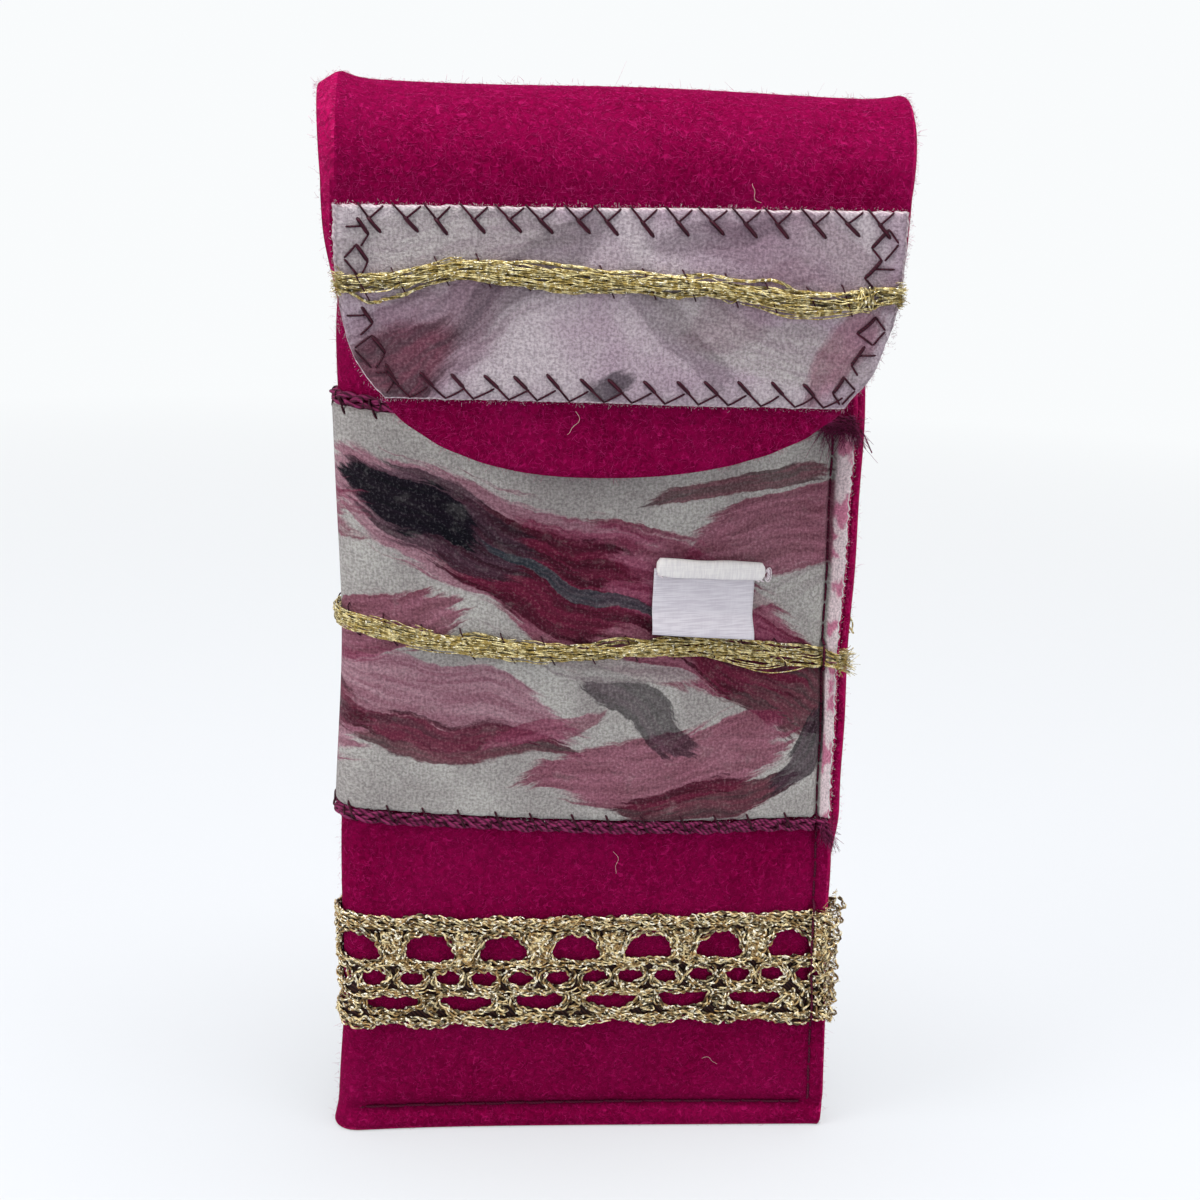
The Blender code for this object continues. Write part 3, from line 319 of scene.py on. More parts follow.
def flap_points(x, z, offset):
    """Points on the hanging part of the flap, offset forwards from its mid-surface."""
    x, z, offset = together(x, z, offset)
    lean = FLAP_TIP_LEAN * ((BEND_Z - z) / (BEND_Z - FLAP_TIP)) ** 2
    down = np.clip(BEND_Z - z, 0, None)
    out, turn = flare(x, 1 - smooth(down / 24))
    hang = smooth(down / 20)
    dx = 0.25 * np.sin(z / 6.5 + x) * np.abs(x) / FLAP_HALF * hang
    dx = dx - np.sign(x) * FLAP_INSET * smooth((166 - z) / 16) * smooth((np.abs(x) - 30) / 14)
    dy = 0.22 * np.sin(x / 12 + 0.8) * np.sin(z / 14) * hang
    return np.stack([x + slanted(x, out, turn, offset) + SIDE_SHIFT + dx,
                     BEND_Y - BEND_RADIUS + lean - offset * np.cos(turn) - out + SEAM_PLANE + dy,
                     z], axis=-1)


def tongue_bottom(x):
    """Height of the flap's cut edge at x: straight sides, then a broad tongue."""
    drop = FLAP_SHOULDER - FLAP_TIP
    level = np.full(np.shape(x), FLAP_SHOULDER, float)
    for _ in range(12):
        fall = (FLAP_SHOULDER - level) / drop
        shift = FLAP_TIP_SHIFT * fall ** 2 * (1 - np.abs(x) / FLAP_HALF)
        across = np.clip(np.abs(x - shift) / FLAP_HALF, 0, 1)
        level = FLAP_SHOULDER - drop * np.sqrt(1 - across ** 2.3)
    return level


def patch_bottom(share):
    return PATCH_BOTTOM + PATCH_TILT * (1 - 2 * np.abs(share))


# meshes


def attribute(mesh, name, kind, values, domain="POINT"):
    layer = mesh.attributes.new(name, kind, domain)
    layer.data.foreach_set("vector" if kind == "FLOAT_VECTOR" else "value", values)


def new_object(name, points, face_groups, material, tone=None):
    """A mesh object from points in millimetres and arrays of equal faces."""
    mesh = bpy.data.meshes.new(name)
    points = np.asarray(points, float).reshape(-1, 3) * MM
    mesh.vertices.add(len(points))
    mesh.vertices.foreach_set("co", points.astype(np.float32).ravel())
    groups = [np.asarray(g, np.int32) for g in face_groups if len(g)]
    totals = np.concatenate([np.full(len(g), g.shape[1], np.int32) for g in groups])
    mesh.loops.add(int(totals.sum()))
    mesh.polygons.add(len(totals))
    mesh.loops.foreach_set("vertex_index", np.concatenate([g.ravel() for g in groups]))
    starts = np.concatenate([[0], np.cumsum(totals)[:-1]]).astype(np.int32)
    mesh.polygons.foreach_set("loop_start", starts)
    mesh.polygons.foreach_set("loop_total", totals)
    mesh.update(calc_edges=True)
    mesh.validate()
    mesh.shade_smooth()
    if tone is not None:
        attribute(mesh, "tone", "FLOAT", np.asarray(tone, np.float32).ravel())
    mesh.materials.append(material)
    made = bpy.data.objects.new(name, mesh)
    bpy.context.scene.collection.objects.link(made)
    return made


def cells(mask):
    """Which squares of a grid have the mask at all four corners, and their faces."""
    index = np.arange(mask.size).reshape(mask.shape)
    cell = mask[:-1, :-1] & mask[1:, :-1] & mask[:-1, 1:] & mask[1:, 1:]
    corners = index[:-1, :-1], index[:-1, 1:], index[1:, 1:], index[1:, :-1]
    return cell, np.stack(corners, -1)[cell]


def skin(index):
    """Faces round tubes, from their points' indices by ring and place in the ring."""
    after = np.roll(index, -1, axis=-1)
    return np.stack([index[..., :-1, :], index[..., 1:, :], after[..., 1:, :],
                     after[..., :-1, :]], -1).reshape(-1, 4)


def slab(name, outer, inner, material, mask=None, edge_material=None, flip=False,
         edge_rings=0, joined_rows=(), cloth=None):
    """A closed sheet between two equal grids of points.

    Where a row joins the next piece of the same felt, its edges are sharp, so that the shading
    runs on across the join.
    """
    rows, columns = outer.shape[:2]
    count = rows * columns
    cell, ring = cells(np.ones((rows, columns), bool) if mask is None else mask)
    front, back = ring, ring[:, ::-1] + count
    walls, at_join = [], []
    padded = np.pad(cell, 1)
    row_of = np.broadcast_to(np.arange(rows - 1)[:, None], cell.shape)[cell]
    for dr, dc, a, b in ((-1, 0, 0, 1), (0, 1, 1, 2), (1, 0, 2, 3), (0, -1, 3, 0)):
        beside = padded[1 + dr:rows + dr, 1 + dc:columns + dc][cell]
        first = (row_of == 0) & (dr < 0 and 0 in joined_rows)
        last = (row_of == rows - 2) & (dr > 0 and -1 in joined_rows)
        at_join.append((first | last)[~beside])
        free = ring[~beside]
        walls.append(np.stack([free[:, b], free[:, a], free[:, a] + count,
                               free[:, b] + count], -1))
    walls = np.concatenate(walls)
    if flip:
        front, back, walls = front[:, ::-1], back[:, ::-1], walls[:, ::-1]
    points = np.concatenate([outer.reshape(-1, 3), inner.reshape(-1, 3)])
    faces = np.concatenate([front, back, walls])
    used = np.unique(faces)
    renumber = np.zeros(len(points), int)
    renumber[used] = np.arange(len(used))
    made = new_object(name, points[used], [renumber[faces]], material)
    if joined_rows:
        row = np.tile(np.repeat(np.arange(rows), columns), 2)[used]
        joined = np.isin(row, [k % rows for k in joined_rows])
        ends = np.zeros(2 * len(made.data.edges), np.int32)
        made.data.edges.foreach_get("vertices", ends)
        sharp = joined[ends.reshape(-1, 2)].all(axis=1)
        attribute(made.data, "sharp_edge", "BOOLEAN", sharp, "EDGE")
    if cloth is not None:
        places = np.zeros((count, 3), np.float32)
        places[:, 0], places[:, 1] = cloth[0].ravel(), cloth[1].ravel()
        places = np.concatenate([places, places])[used]
        attribute(made.data, "cloth", "FLOAT_VECTOR", places.ravel())
    if edge_material is not None:
        made.data.materials.append(edge_material)
        slots = np.zeros(len(faces), np.int32)
        slots[len(front) + len(back):] = ~np.concatenate(at_join)
        inward = np.zeros_like(cell)
        first = 0 if 0 in joined_rows else edge_rings
        last = 0 if -1 in joined_rows else edge_rings
        inward[first:rows - 1 - last, edge_rings:columns - 1 - edge_rings] = True
        slots[:len(front)] = ~inward[cell]
        slots[len(front):2 * len(front)] = ~inward[cell]
        made.data.polygons.foreach_set("material_index", slots)
    return made


def tube_parts(paths, radius, sides):
    """Points, side faces and end faces of tubes along equal-length paths (n, k, 3)."""
    paths = np.asarray(paths, float)
    n, k, _ = paths.shape
    radius = np.broadcast_to(radius, (n, k))
    along = unit(np.gradient(paths, axis=1))
    side = np.zeros_like(paths)
    helper = np.where(np.abs(along[:, 0, 2:3]) > 0.8, [[1.0, 0, 0]], [[0, 0, 1.0]])
    side[:, 0] = unit(np.cross(along[:, 0], helper))
    for step in range(1, k):
        before = side[:, step - 1]
        turned = before - np.sum(before * along[:, step], -1, keepdims=True) * along[:, step]
        side[:, step] = unit(turned)
    up = np.cross(along, side)
    angle = 2 * np.pi * np.arange(sides) / sides
    ring = (paths[:, :, None] + radius[:, :, None, None]
            * (np.cos(angle)[:, None] * side[:, :, None]
               + np.sin(angle)[:, None] * up[:, :, None]))
    index = np.arange(n * k * sides).reshape(n, k, sides)
    ends = np.concatenate([index[:, 0], index[:, -1, ::-1]])
    return ring.reshape(-1, 3), skin(index), ends


def tubes(name, groups, material):
    """One object of tubes. groups holds (paths, radius, sides, tone) for equal paths."""
    points, quads, ends, tones, start = [], [], {}, [], 0
    for paths, radius, sides, tone in groups:
        p, q, e = tube_parts(paths, radius, sides)
        points.append(p)
        quads.append(q + start)
        ends.setdefault(sides, []).append(e + start)
        n, k, _ = np.shape(paths)
        each = np.broadcast_to(np.asarray(tone, float).reshape(-1, 1, 1), (n, k, sides))
        tones.append(each.reshape(-1))
        start += len(p)
    faces = [np.concatenate(quads)] + [np.concatenate(e) for e in ends.values()]
    return new_object(name, np.concatenate(points), faces, material, np.concatenate(tones))


def wander(count, steps, spacing, wave, size):
    """Smooth random drift along each of several lines: (count, steps)."""
    knots = max(int(steps * spacing / wave) + 4, 5)
    values = RANDOM.normal(0, 1, (count, knots))
    at = np.linspace(0, knots - 1.001, steps)
    low = at.astype(int)
    high = np.minimum(low + 1, knots - 1)
    share = smooth(at - low)
    return size * (values[:, low] * (1 - share) + values[:, high] * share)


def belongs(piece, body, slot, *nodes):
    """Puts a piece on its body and hides the CAD nodes that it stands for. The slot is not used.
    """
    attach(piece, body)
    if nodes:
        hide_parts(*nodes)


# materials


def srgb(r, g, b):
    """A linear colour from 0 to 255 display values."""
    values = [c / 255 for c in (r, g, b)]
    return [c / 12.92 if c <= 0.04045 else ((c + 0.055) / 1.055) ** 2.4 for c in values] + [1.0]


class Nodes:
    """A small helper round one tree of shader nodes."""

    def __init__(self, tree):
        self.tree = tree

    def node(self, kind, **values):
        made = self.tree.nodes.new(kind)
        for key, value in values.items():
            setattr(made, key, value)
        return made

    def put(self, socket, value):
        if isinstance(value, bpy.types.NodeSocket):
            self.tree.links.new(value, socket)
        elif value is not None:
            socket.default_value = value

    def fill(self, made, values):
        for socket, value in zip(made.inputs, values):
            self.put(socket, value)
        return made.outputs[0]

    def calc(self, operation, *values):
        return self.fill(self.node("ShaderNodeMath", operation=operation), values)

    def length(self, vector):
        made = self.node("ShaderNodeVectorMath", operation="LENGTH")
        self.put(made.inputs[0], vector)
        return made.outputs["Value"]

    def show(self, out, share, one, other):
        """Shows one shader or the other, by share."""
        mixed = self.fill(self.node("ShaderNodeMixShader"), (share, one, other))
        self.put(out.inputs["Surface"], mixed)


class Paint(Nodes):
    """One material, from a principled shader."""

    def __init__(self, name, roughness, metallic=0.0, sheen=0.0, sheen_tint=None,
                 sheen_roughness=0.5, specular=0.5):
        self.material = bpy.data.materials.new(name)
        self.material.use_nodes = True
        super().__init__(self.material.node_tree)
        self.shader = self.tree.nodes["Principled BSDF"]
        self.set(self.shader, {
            "Roughness": roughness, "Metallic": metallic, "Sheen Weight": sheen,
            "Sheen Roughness": sheen_roughness, "Specular IOR Level": specular,
            "Sheen Tint": sheen_tint})
        self.coords = self.node("ShaderNodeTexCoord").outputs["Object"]

    def set(self, made, values):
        for name, value in values.items():
            self.put(made.inputs[name], value)

    def mapped(self, scale, turn=(0, 0, 0), move=(0, 0, 0), vector=None, kind="POINT"):
        made = self.node("ShaderNodeMapping", vector_type=kind)
        self.set(made, {"Vector": vector or self.coords, "Scale": scale, "Location": move,
                        "Rotation": [math.radians(a) for a in turn]})
        return made.outputs["Vector"]

    def noise(self, scale, detail=2.0, vector=None, distortion=0.0, rough=0.5, output="Fac"):
        made = self.node("ShaderNodeTexNoise")
        self.set(made, {"Vector": vector or self.coords, "Scale": scale, "Detail": detail,
                        "Roughness": rough, "Distortion": distortion})
        return made.outputs[output]

    def band(self, value, low, high, to_low=0.0, to_high=1.0):
        made = self.node("ShaderNodeMapRange", interpolation_type="SMOOTHSTEP")
        return self.fill(made, (value, low, high, to_low, to_high))

    def blend(self, share, a, b, kind="MIX"):
        """Mixes two colours, each an output or a tuple of 0 to 255 display values."""
        made = self.node("ShaderNodeMix", data_type="RGBA", blend_type=kind)
        for k, value in ((0, share), (6, a), (7, b)):
            self.put(made.inputs[k], srgb(*value) if isinstance(value, tuple) else value)
        return made.outputs[2]

    def tone(self):
        return self.node("ShaderNodeAttribute", attribute_name="tone").outputs["Fac"]

    def threads(self, scale, width, vector=None):
        """Thin winding lines, as of fibres lying in a mat."""
        field = self.noise(scale, 1.0, vector, 0.6)
        away = self.calc("ABSOLUTE", self.calc("SUBTRACT", field, 0.5))
        return self.band(away, width, 0.0)

    def cloth_places(self, swing, ragged):
        """The place on the cloth in millimetres, pushed about so that edges wander."""
        place = self.node("ShaderNodeAttribute", attribute_name="cloth").outputs["Vector"]
        self.coords = place
        for scale, detail, size in ((0.045, 1.0, swing), (0.5, 3.0, ragged)):
            even = self.fill(self.node("ShaderNodeVectorMath", operation="SUBTRACT"),
                             (self.noise(scale, detail, output="Color"), (0.5, 0.5, 0.5)))
            place = self.fill(self.node("ShaderNodeVectorMath", operation="MULTIPLY_ADD"),
                              (even, (size, size, 0.0), place))
        return place

    def stroke(self, under, paper, stroke, softness):
        """One brush stroke with streaks along it and a ragged edge."""
        along, up, half_length, half_width, lean, ink, strength = stroke
        place = self.mapped((half_length, half_width, 1), (0, 0, lean), (along, up, 0), paper,
                            "TEXTURE")
        hairs = self.mapped((half_length * 0.06, half_width * 0.75, 1),
                            move=(along * 0.37, up * 0.61, lean * 0.13), vector=place)
        streaks = self.noise(1.0, 4, hairs, 0.4, 0.6)
        edge = self.calc("ADD", self.length(place),
                         self.calc("MULTIPLY", self.calc("SUBTRACT", streaks, 0.5), 0.8))
        share = self.calc("MULTIPLY", self.band(edge, 1.0, 1.0 - softness), strength)
        body = self.blend(self.band(streaks, 0.36, 0.64), *VELVET_INKS[ink])
        return self.blend(share, under, body)

    def bump(self, height, distance, strength=1.0, onto=None):
        made = self.node("ShaderNodeBump")
        self.set(made, {"Strength": strength, "Distance": distance, "Height": height,
                        "Normal": onto})
        return made.outputs["Normal"]

    def done(self, colour, normal, roughness=None):
        self.set(self.shader, {"Base Color": colour, "Normal": normal, "Roughness": roughness})
        return self.material


def felt_material(name, base, deep, pale, curl_scale=850):
    p = Paint(name, 0.95, sheen=0.13, sheen_tint=srgb(226, 24, 112), specular=0.02)
    curls = p.noise(curl_scale, 3, None, 1.2, 0.6)
    colour = p.blend(p.band(curls, 0.34, 0.66), deep, base)
    cloud = p.calc("MULTIPLY", p.band(p.noise(60, 2), 0.35, 0.7), 0.09)
    colour = p.blend(cloud, colour, pale)
    lines = p.threads(480, 0.02)
    more = p.threads(860, 0.04, p.mapped((1, 1, 1), (20, 40, 10), (0.3, 0.1, 0.2)))
    mat = p.calc("MAXIMUM", lines, p.calc("MULTIPLY", more, 0.75))
    colour = p.blend(p.calc("MULTIPLY", mat, 0.48), colour, pale)
    height = p.calc("ADD", curls, p.calc("MULTIPLY", mat, 0.5))
    normal = p.bump(height, 0.0003, 1.0, p.bump(p.noise(260, 2), 0.0003, 0.4))
    return p.done(colour, normal)


def fibre_material(name, dark, light):
    p = Paint(name, 0.85, specular=0.12)
    return p.done(p.blend(p.tone(), dark, light), p.bump(p.noise(4000, 1), 0.00003, 0.5))


# Millimetres along the velvet from its middle at which its print gives way to the bare weave
RAW_FROM = 91.4

VELVET_INKS = {
    "rose": ((118, 44, 70), (152, 82, 106)),
    "pink": ((140, 82, 102), (166, 120, 134)),
    "burgundy": ((58, 6, 26), (104, 24, 52)),
    "plum": ((98, 52, 78), (134, 92, 112)),
    "charcoal": ((34, 26, 34), (74, 54, 66)),
    "ink": ((8, 12, 20), (22, 16, 28)),
    "slate": ((40, 54, 60), (86, 84, 90)),
    "pale": ((152, 142, 142), (182, 178, 172)),
}

# Strokes: along and up in millimetres, half length, half width, lean in degrees, ink, strength
BODY_PRINT = (
    (27, 52, 34, 11, -20, "pink", 0.85), (54, 39, 37, 13, -22, "rose", 0.9),
    (16, 22, 28, 8, -10, "pink", 0.85), (84, 52, 24, 8, 16, "rose", 0.85),
    (36, 47, 27, 9, -26, "burgundy", 0.92), (20, 55, 19, 8, -22, "charcoal", 0.8),
    (15, 57, 14, 5.5, -18, "ink", 0.96), (77, 27, 26, 8.5, -30, "burgundy", 0.9),
    (66, 36, 22, 4, -22, "rose", 0.9), (44, 44, 18, 1.4, -28, "slate", 0.85),
    (20, 15, 23, 3.2, -6, "burgundy", 0.85), (60, 11, 26, 7, 9, "rose", 0.85),
    (68, 5, 19, 4.2, 5, "burgundy", 0.9), (54, 22, 15, 3.2, -36, "charcoal", 0.75),
    (44, 30, 22, 2.6, -16, "pale", 0.8), (72, 60, 20, 2.6, 10, "burgundy", 0.8),
    (89, 12, 11, 4, 44, "charcoal", 0.85), (6, 34, 18, 6, 20, "rose", 0.85),
    (38, 17, 12, 2.2, 22, "rose", 0.7), (84, 42, 14, 2.0, 24, "pale", 0.6),
    (-28, 44, 36, 11, 20, "rose", 0.85), (-70, 52, 24, 8, -12, "pink", 0.85),
    (-38, 38, 25, 7, 28, "burgundy", 0.9), (-20, 12, 28, 8, 8, "pink", 0.85),
    (-60, 20, 22, 8, 30, "charcoal", 0.8), (-63, 19, 14, 5, 34, "ink", 0.95),
    (-12, 22, 20, 5, -14, "burgundy", 0.8), (-47, 52, 14, 3, 30, "charcoal", 0.75),
    (-41, 42, 12, 1.3, 28, "slate", 0.8), (-84, 34, 16, 6, 60, "rose", 0.8),
    (-80, 8, 20, 4, 5, "burgundy", 0.8))
FLAP_PRINT = (
    (-28, 24, 26, 7, 8, "pale", 0.6), (24, 10, 24, 6, -18, "pale", 0.6),
    (-30, 10, 20, 10, 30, "plum", 0.6), (30, 24, 23, 8, -16, "plum", 0.4),
    (-36, 5, 17, 7, 36, "burgundy", 0.75), (-14, 20, 20, 5.0, 42, "charcoal", 0.42),
    (9, 12, 16, 4.0, -48, "charcoal", 0.36), (-2, 4, 4.4, 2.6, 20, "ink", 0.7),
    (14, 27, 12, 3.2, 14, "charcoal", 0.36), (37, 8, 12, 5, 66, "rose", 0.55),
    (20, 16, 13, 4.5, 24, "plum", 0.35))


def velvet_material(name, strokes, ground, softness):
    """Cut velvet with an abstract wash of brush strokes."""
    p = Paint(name, 0.9, sheen=0.1, sheen_tint=srgb(255, 240, 245), sheen_roughness=0.4,
              specular=0.06)
    paper = p.cloth_places(13.0, 1.3)
    cloud = p.noise(0.06, 3, paper)
    colour = p.blend(p.band(cloud, 0.35, 0.65), *ground)
    for stroke in strokes:
        colour = p.stroke(colour, paper, stroke, softness)
    worn = p.noise(0.22, 4, p.mapped((1, 1.6, 1), (0, 0, 25)), 0.6, 0.65)
    colour = p.blend(p.calc("MULTIPLY", p.band(worn, 0.52, 0.72), 0.1), colour, ground[1])
    split = p.node("ShaderNodeSeparateXYZ")
    p.put(split.inputs[0], p.coords)
    beyond = p.band(p.calc("ABSOLUTE", split.outputs[0]), RAW_FROM, RAW_FROM + 0.8)
    blotch = p.band(p.noise(0.14, 3), 0.5, 0.57)
    colour = p.blend(beyond, colour, p.blend(blotch, (232, 212, 214), (206, 128, 154)))
    pile = p.noise(1.0, 3, p.mapped((1.9, 2.3, 1)), 0.3, 0.6)
    rows = p.noise(1.0, 2, p.mapped((2.6, 0.7, 1)), 0.2)
    grain = p.calc("ADD", p.calc("MULTIPLY", pile, 0.7), p.calc("MULTIPLY", rows, 0.3))
    shade = p.blend(p.band(grain, 0.36, 0.62), (200, 197, 199), (255, 255, 255))
    colour = p.blend(1.0, colour, shade, "MULTIPLY")
    colour = p.blend(p.band(grain, 0.52, 0.68, 0.0, 0.05), colour, (240, 234, 232))
    height = p.calc("ADD", grain, p.calc("MULTIPLY", p.noise(6.0, 1), 0.12))
    normal = p.bump(height, 0.0005, 0.9, p.bump(p.noise(0.11, 2), 0.0008, 0.35))
    return p.done(colour, normal)


def metal_yarn_material(name, bright, mid, dark, specks, grain, glints):
    """Lurex yarn: flat bright foil wound round a dark core, full of tiny glints. The glints and
    the bright flashes are painted highlights in its colour.
    """
    p = Paint(name, 0.34, metallic=0.35, specular=0.25)
    glint = p.noise(2400 * grain, 1)
    flashes = p.noise(1500 * grain, 2)
    core = p.noise(1600 * grain, 2, p.mapped((1, 1, 1), move=(0.4, 0.7, 0.2)))
    # Bright flashes along the foil: painted reflections, as where the twisted foil turns to the
    # light.
    colour = p.blend(p.band(flashes, 0.42, 0.6), mid, bright)
    # A strand's tone darkens it: partly random tone, mostly painted shade for the dark strands
    # that lie in gaps and under others.
    colour = p.blend(p.calc("MULTIPLY", p.tone(), 0.9), colour, dark)
    colour = p.blend(p.calc("MULTIPLY", p.band(core, 0.53, 0.6), specks), colour, dark)
    colour = p.blend(p.band(glint, *glints), colour, (255, 248, 226))
    height = p.calc("ADD", flashes, glint)
    return p.done(colour, p.bump(height, 0.0001, 0.8), p.band(glint, 0.3, 0.7, 0.42, 0.18))


def thread_material(name, dark, light, gloss=0.5, scale=3000):
    p = Paint(name, gloss, specular=0.2)
    ply = p.node("ShaderNodeTexWave", wave_type="BANDS", bands_direction="DIAGONAL")
    p.put(ply.inputs["Vector"], p.coords)
    ply.inputs["Scale"].default_value = scale / 3
    ply.inputs["Distortion"].default_value = 1.0
    share = p.calc("MULTIPLY", p.calc("ADD", p.noise(scale, 2), ply.outputs["Fac"]), 0.5)
    colour = p.blend(p.band(share, 0.3, 0.7), dark, light)
    colour = p.blend(p.calc("MULTIPLY", p.tone(), 0.4), colour, dark)
    return p.done(colour, p.bump(share, 0.00008, 0.8))


def label_material(name, ribs, shade, white):
    p = Paint(name, 0.5, sheen=0.1, specular=0.3)
    weft = p.noise(1, 1, p.mapped((260, 260, 5200)))
    warp = p.noise(1, 1, p.mapped((3600, 600, 500)))
    mix = p.calc("ADD", p.calc("MULTIPLY", weft, ribs), p.calc("MULTIPLY", warp, 1 - ribs))
    colour = p.blend(p.band(mix, 0.34, 0.64), shade, white)
    return p.done(colour, p.bump(mix, 0.00006, 0.6))


def nickel_material():
    p = Paint("nickel_plate", 0.28, metallic=1.0)
    worn = p.noise(900, 4)
    colour = p.blend(p.band(worn, 0.35, 0.7), (150, 147, 140), (214, 211, 204))
    normal = p.bump(p.noise(3000, 2), 0.00002, 0.4)
    return p.done(colour, normal, p.band(worn, 0.3, 0.7, 0.4, 0.22))


def stage_material():
    """Pale floor and backdrop, almost white to the camera, where the floor keeps the shadow."""
    made = bpy.data.materials.new("pale_stage")
    made.use_nodes = True
    made.node_tree.nodes.clear()
    n = Nodes(made.node_tree)
    rays = n.node("ShaderNodeLightPath").outputs
    seen = n.calc("MAXIMUM", rays["Is Camera Ray"], rays["Is Glossy Ray"])
    seen = n.calc("MAXIMUM", seen, rays["Is Transmission Ray"])
    away = n.length(n.node("ShaderNodeTexCoord").outputs["Object"])
    far = n.fill(n.node("ShaderNodeMapRange"), (away, 0.15, 0.9, 0.48, 0.97))
    diffuse, glow = n.node("ShaderNodeBsdfDiffuse"), n.node("ShaderNodeEmission")
    n.fill(diffuse, [srgb(195, 197, 202)])
    n.fill(glow, [srgb(251, 253, 254)])
    n.show(n.node("ShaderNodeOutputMaterial"), n.calc("MULTIPLY", seen, far),
           diffuse.outputs[0], glow.outputs[0])
    return made


FELT = felt_material("wool_felt", (122, 2, 56), (94, 0, 40), (180, 26, 98))
# The cut edges, and the rounded rims next to them, are painted lighter than the felt's faces:
# painted light, as where the lamps fall on the edges.
FELT_CUT_LIT = felt_material("wool_felt_cut_edge", (160, 7, 75), (112, 0, 50), (212, 58, 122), 600)
FUZZ = fibre_material("felt_fibres", (132, 6, 66), (196, 52, 124))
LINT = fibre_material("pale_fibres", (196, 150, 150), (226, 204, 190))
VELVET = velvet_material("printed_velvet_body", BODY_PRINT,
                         ((160, 155, 151), (184, 181, 175)), 0.13)
FLAP_VELVET = velvet_material("printed_velvet_flap", FLAP_PRINT,
                              ((178, 157, 169), (197, 185, 189)), 0.4)
RAW_EDGE = thread_material("velvet_raw_edge", (184, 176, 175), (222, 216, 214), 0.8, 2000)
FLAP_EDGE = thread_material("velvet_raw_edge_flap", (164, 146, 151), (202, 186, 191), 0.8, 2000)
GOLD = metal_yarn_material("gold_yarn", (250, 234, 176), (186, 161, 90),
                           (30, 19, 9), 0.55, 0.8, (0.63, 0.69))
LACE = metal_yarn_material("gold_lace", (250, 230, 178), (172, 138, 86),
                           (22, 8, 12), 0.6, 0.6, (0.58, 0.63))
# A dark sheet under the lace: painted shade between its strands.
LACE_SHADE_SHEET = thread_material("gold_lace_ground", (24, 8, 12), (62, 34, 28), 0.7, 2200)
SEAM_THREAD = thread_material("seam_thread", (56, 2, 28), (98, 6, 48))
PLUM = thread_material("plum_yarn", (68, 8, 38), (136, 40, 88), 0.7, 1600)
THREAD = thread_material("dark_thread", (32, 0, 14), (66, 4, 30))
LABEL = label_material("woven_label", 0.85, (194, 187, 195), (212, 207, 212))
LABEL_ROLL = label_material("woven_label_fold", 0.35, (216, 211, 210), (230, 226, 222))
NICKEL = nickel_material()
WHITE_THREAD = thread_material("white_thread", (206, 190, 196), (238, 228, 232))


# felt


def rim_drop(distance, rim=RIM):
    """How far a rounded cut edge has fallen below the sheet's face."""
    near = rim - np.clip(distance, 0, rim)
    return rim - np.sqrt(np.maximum(rim ** 2 - near ** 2, 0))


def seam_dip(share, z, size=SEAM_DIP):
    """Felt pulled in along the stitching."""
    side = np.exp(-((np.abs(share) - SEAM_SHARE) * SHARE_LENGTH / 0.95) ** 2)
    side = side * smooth((MOUTH - 1 - z) / 4) * smooth((z - 2) / 4)
    inward = smooth((np.abs(share) - 0.02) / 0.05)
    base = 1.7 * np.exp(-((z - BOTTOM_SEAM) / 1.25) ** 2) * inward
    lip = -0.4 * np.exp(-((z - 1.4) / 1.3) ** 2) * inward
    return size * (np.maximum(side, base) + lip)


BACK_EDGE_REACH = 1.2
RIM_STEPS = np.array([0.0, 0.03, 0.1, 0.22, 0.42, RIM])


def back_reach(z):
    """How far the back's cut edge stands out past the seam, as a share of its allowance."""
    return (ease(1.0, BACK_EDGE_REACH, smooth((BEND_Z - 6 - z) / 18))
            - 0.4 * smooth((62 - z) / 14))


def cut_share(s, z):
    """The felt's own share at its cut edges: the back's reach and the rounded lower corners."""
    s = np.where(s < -SEAM_SHARE, -SEAM_SHARE + (s + SEAM_SHARE) * back_reach(z), s)
    low = np.clip(FOOT_CORNER - z, 0, FOOT_CORNER)
    recede = FOOT_CORNER - np.sqrt(FOOT_CORNER ** 2 - low ** 2)
    return s - np.sign(s) * recede / EDGE_LENGTH * smooth((np.abs(s) - 0.95) / 0.05)


def shares_round(walls_end, edge_start, rim):
    """Shares from edge to edge, close together at the fold and at the cut edges."""
    positive = np.concatenate([
        np.arange(0, 0.1, 0.0045), np.arange(0.1, walls_end, 0.0125),
        np.arange(walls_end, edge_start, 0.0045), 1 - rim[::-1] / EDGE_LENGTH])
    return np.concatenate([-positive[:0:-1], positive])


def places_across(half, rim, count):
    """Places from edge to edge of a flap piece, closest at its cut edges."""
    share = np.sin(0.5 * np.pi * np.linspace(-1, 1, count))
    return np.concatenate([-half + rim[:-1], share * (half - rim[-1]), (half - rim[:-1])[::-1]])


def from_lower_edge(z, edge, x):
    """Distances from a piece's curved lower edge, given as a height for every x."""
    return (z - edge) / np.sqrt(1 + np.gradient(edge, x) ** 2)


def case_felt():
    levels = np.concatenate([
        RIM_STEPS, np.arange(1.1, 8, 0.55), np.arange(8.5, MOUTH - 1.3, 1.25),
        MOUTH - RIM_STEPS[::-1], np.arange(MOUTH + 0.6, BEND_Z - 0.3, 0.6), [BEND_Z]])
    s, z = np.meshgrid(shares_round(0.9, 0.9925, RIM_STEPS), levels)
    away = np.minimum((1 - np.abs(s)) * EDGE_LENGTH, z)
    past_fold = np.maximum(-s * SHARE_LENGTH, 0)
    drop = rim_drop(np.minimum(away, np.hypot(past_fold, np.maximum(MOUTH - z, 0))))
    s = cut_share(s, z)
    outer = body_points(s, z, HALF_FELT - drop - seam_dip(s, z))
    inner = body_points(s, z, -HALF_FELT + drop)
    mask = (s <= 1e-9) | (z <= MOUTH + 1e-9)
    return slab("felt_pouch", outer, inner, FELT, mask, FELT_CUT_LIT, edge_rings=5,
                joined_rows=(-1,))


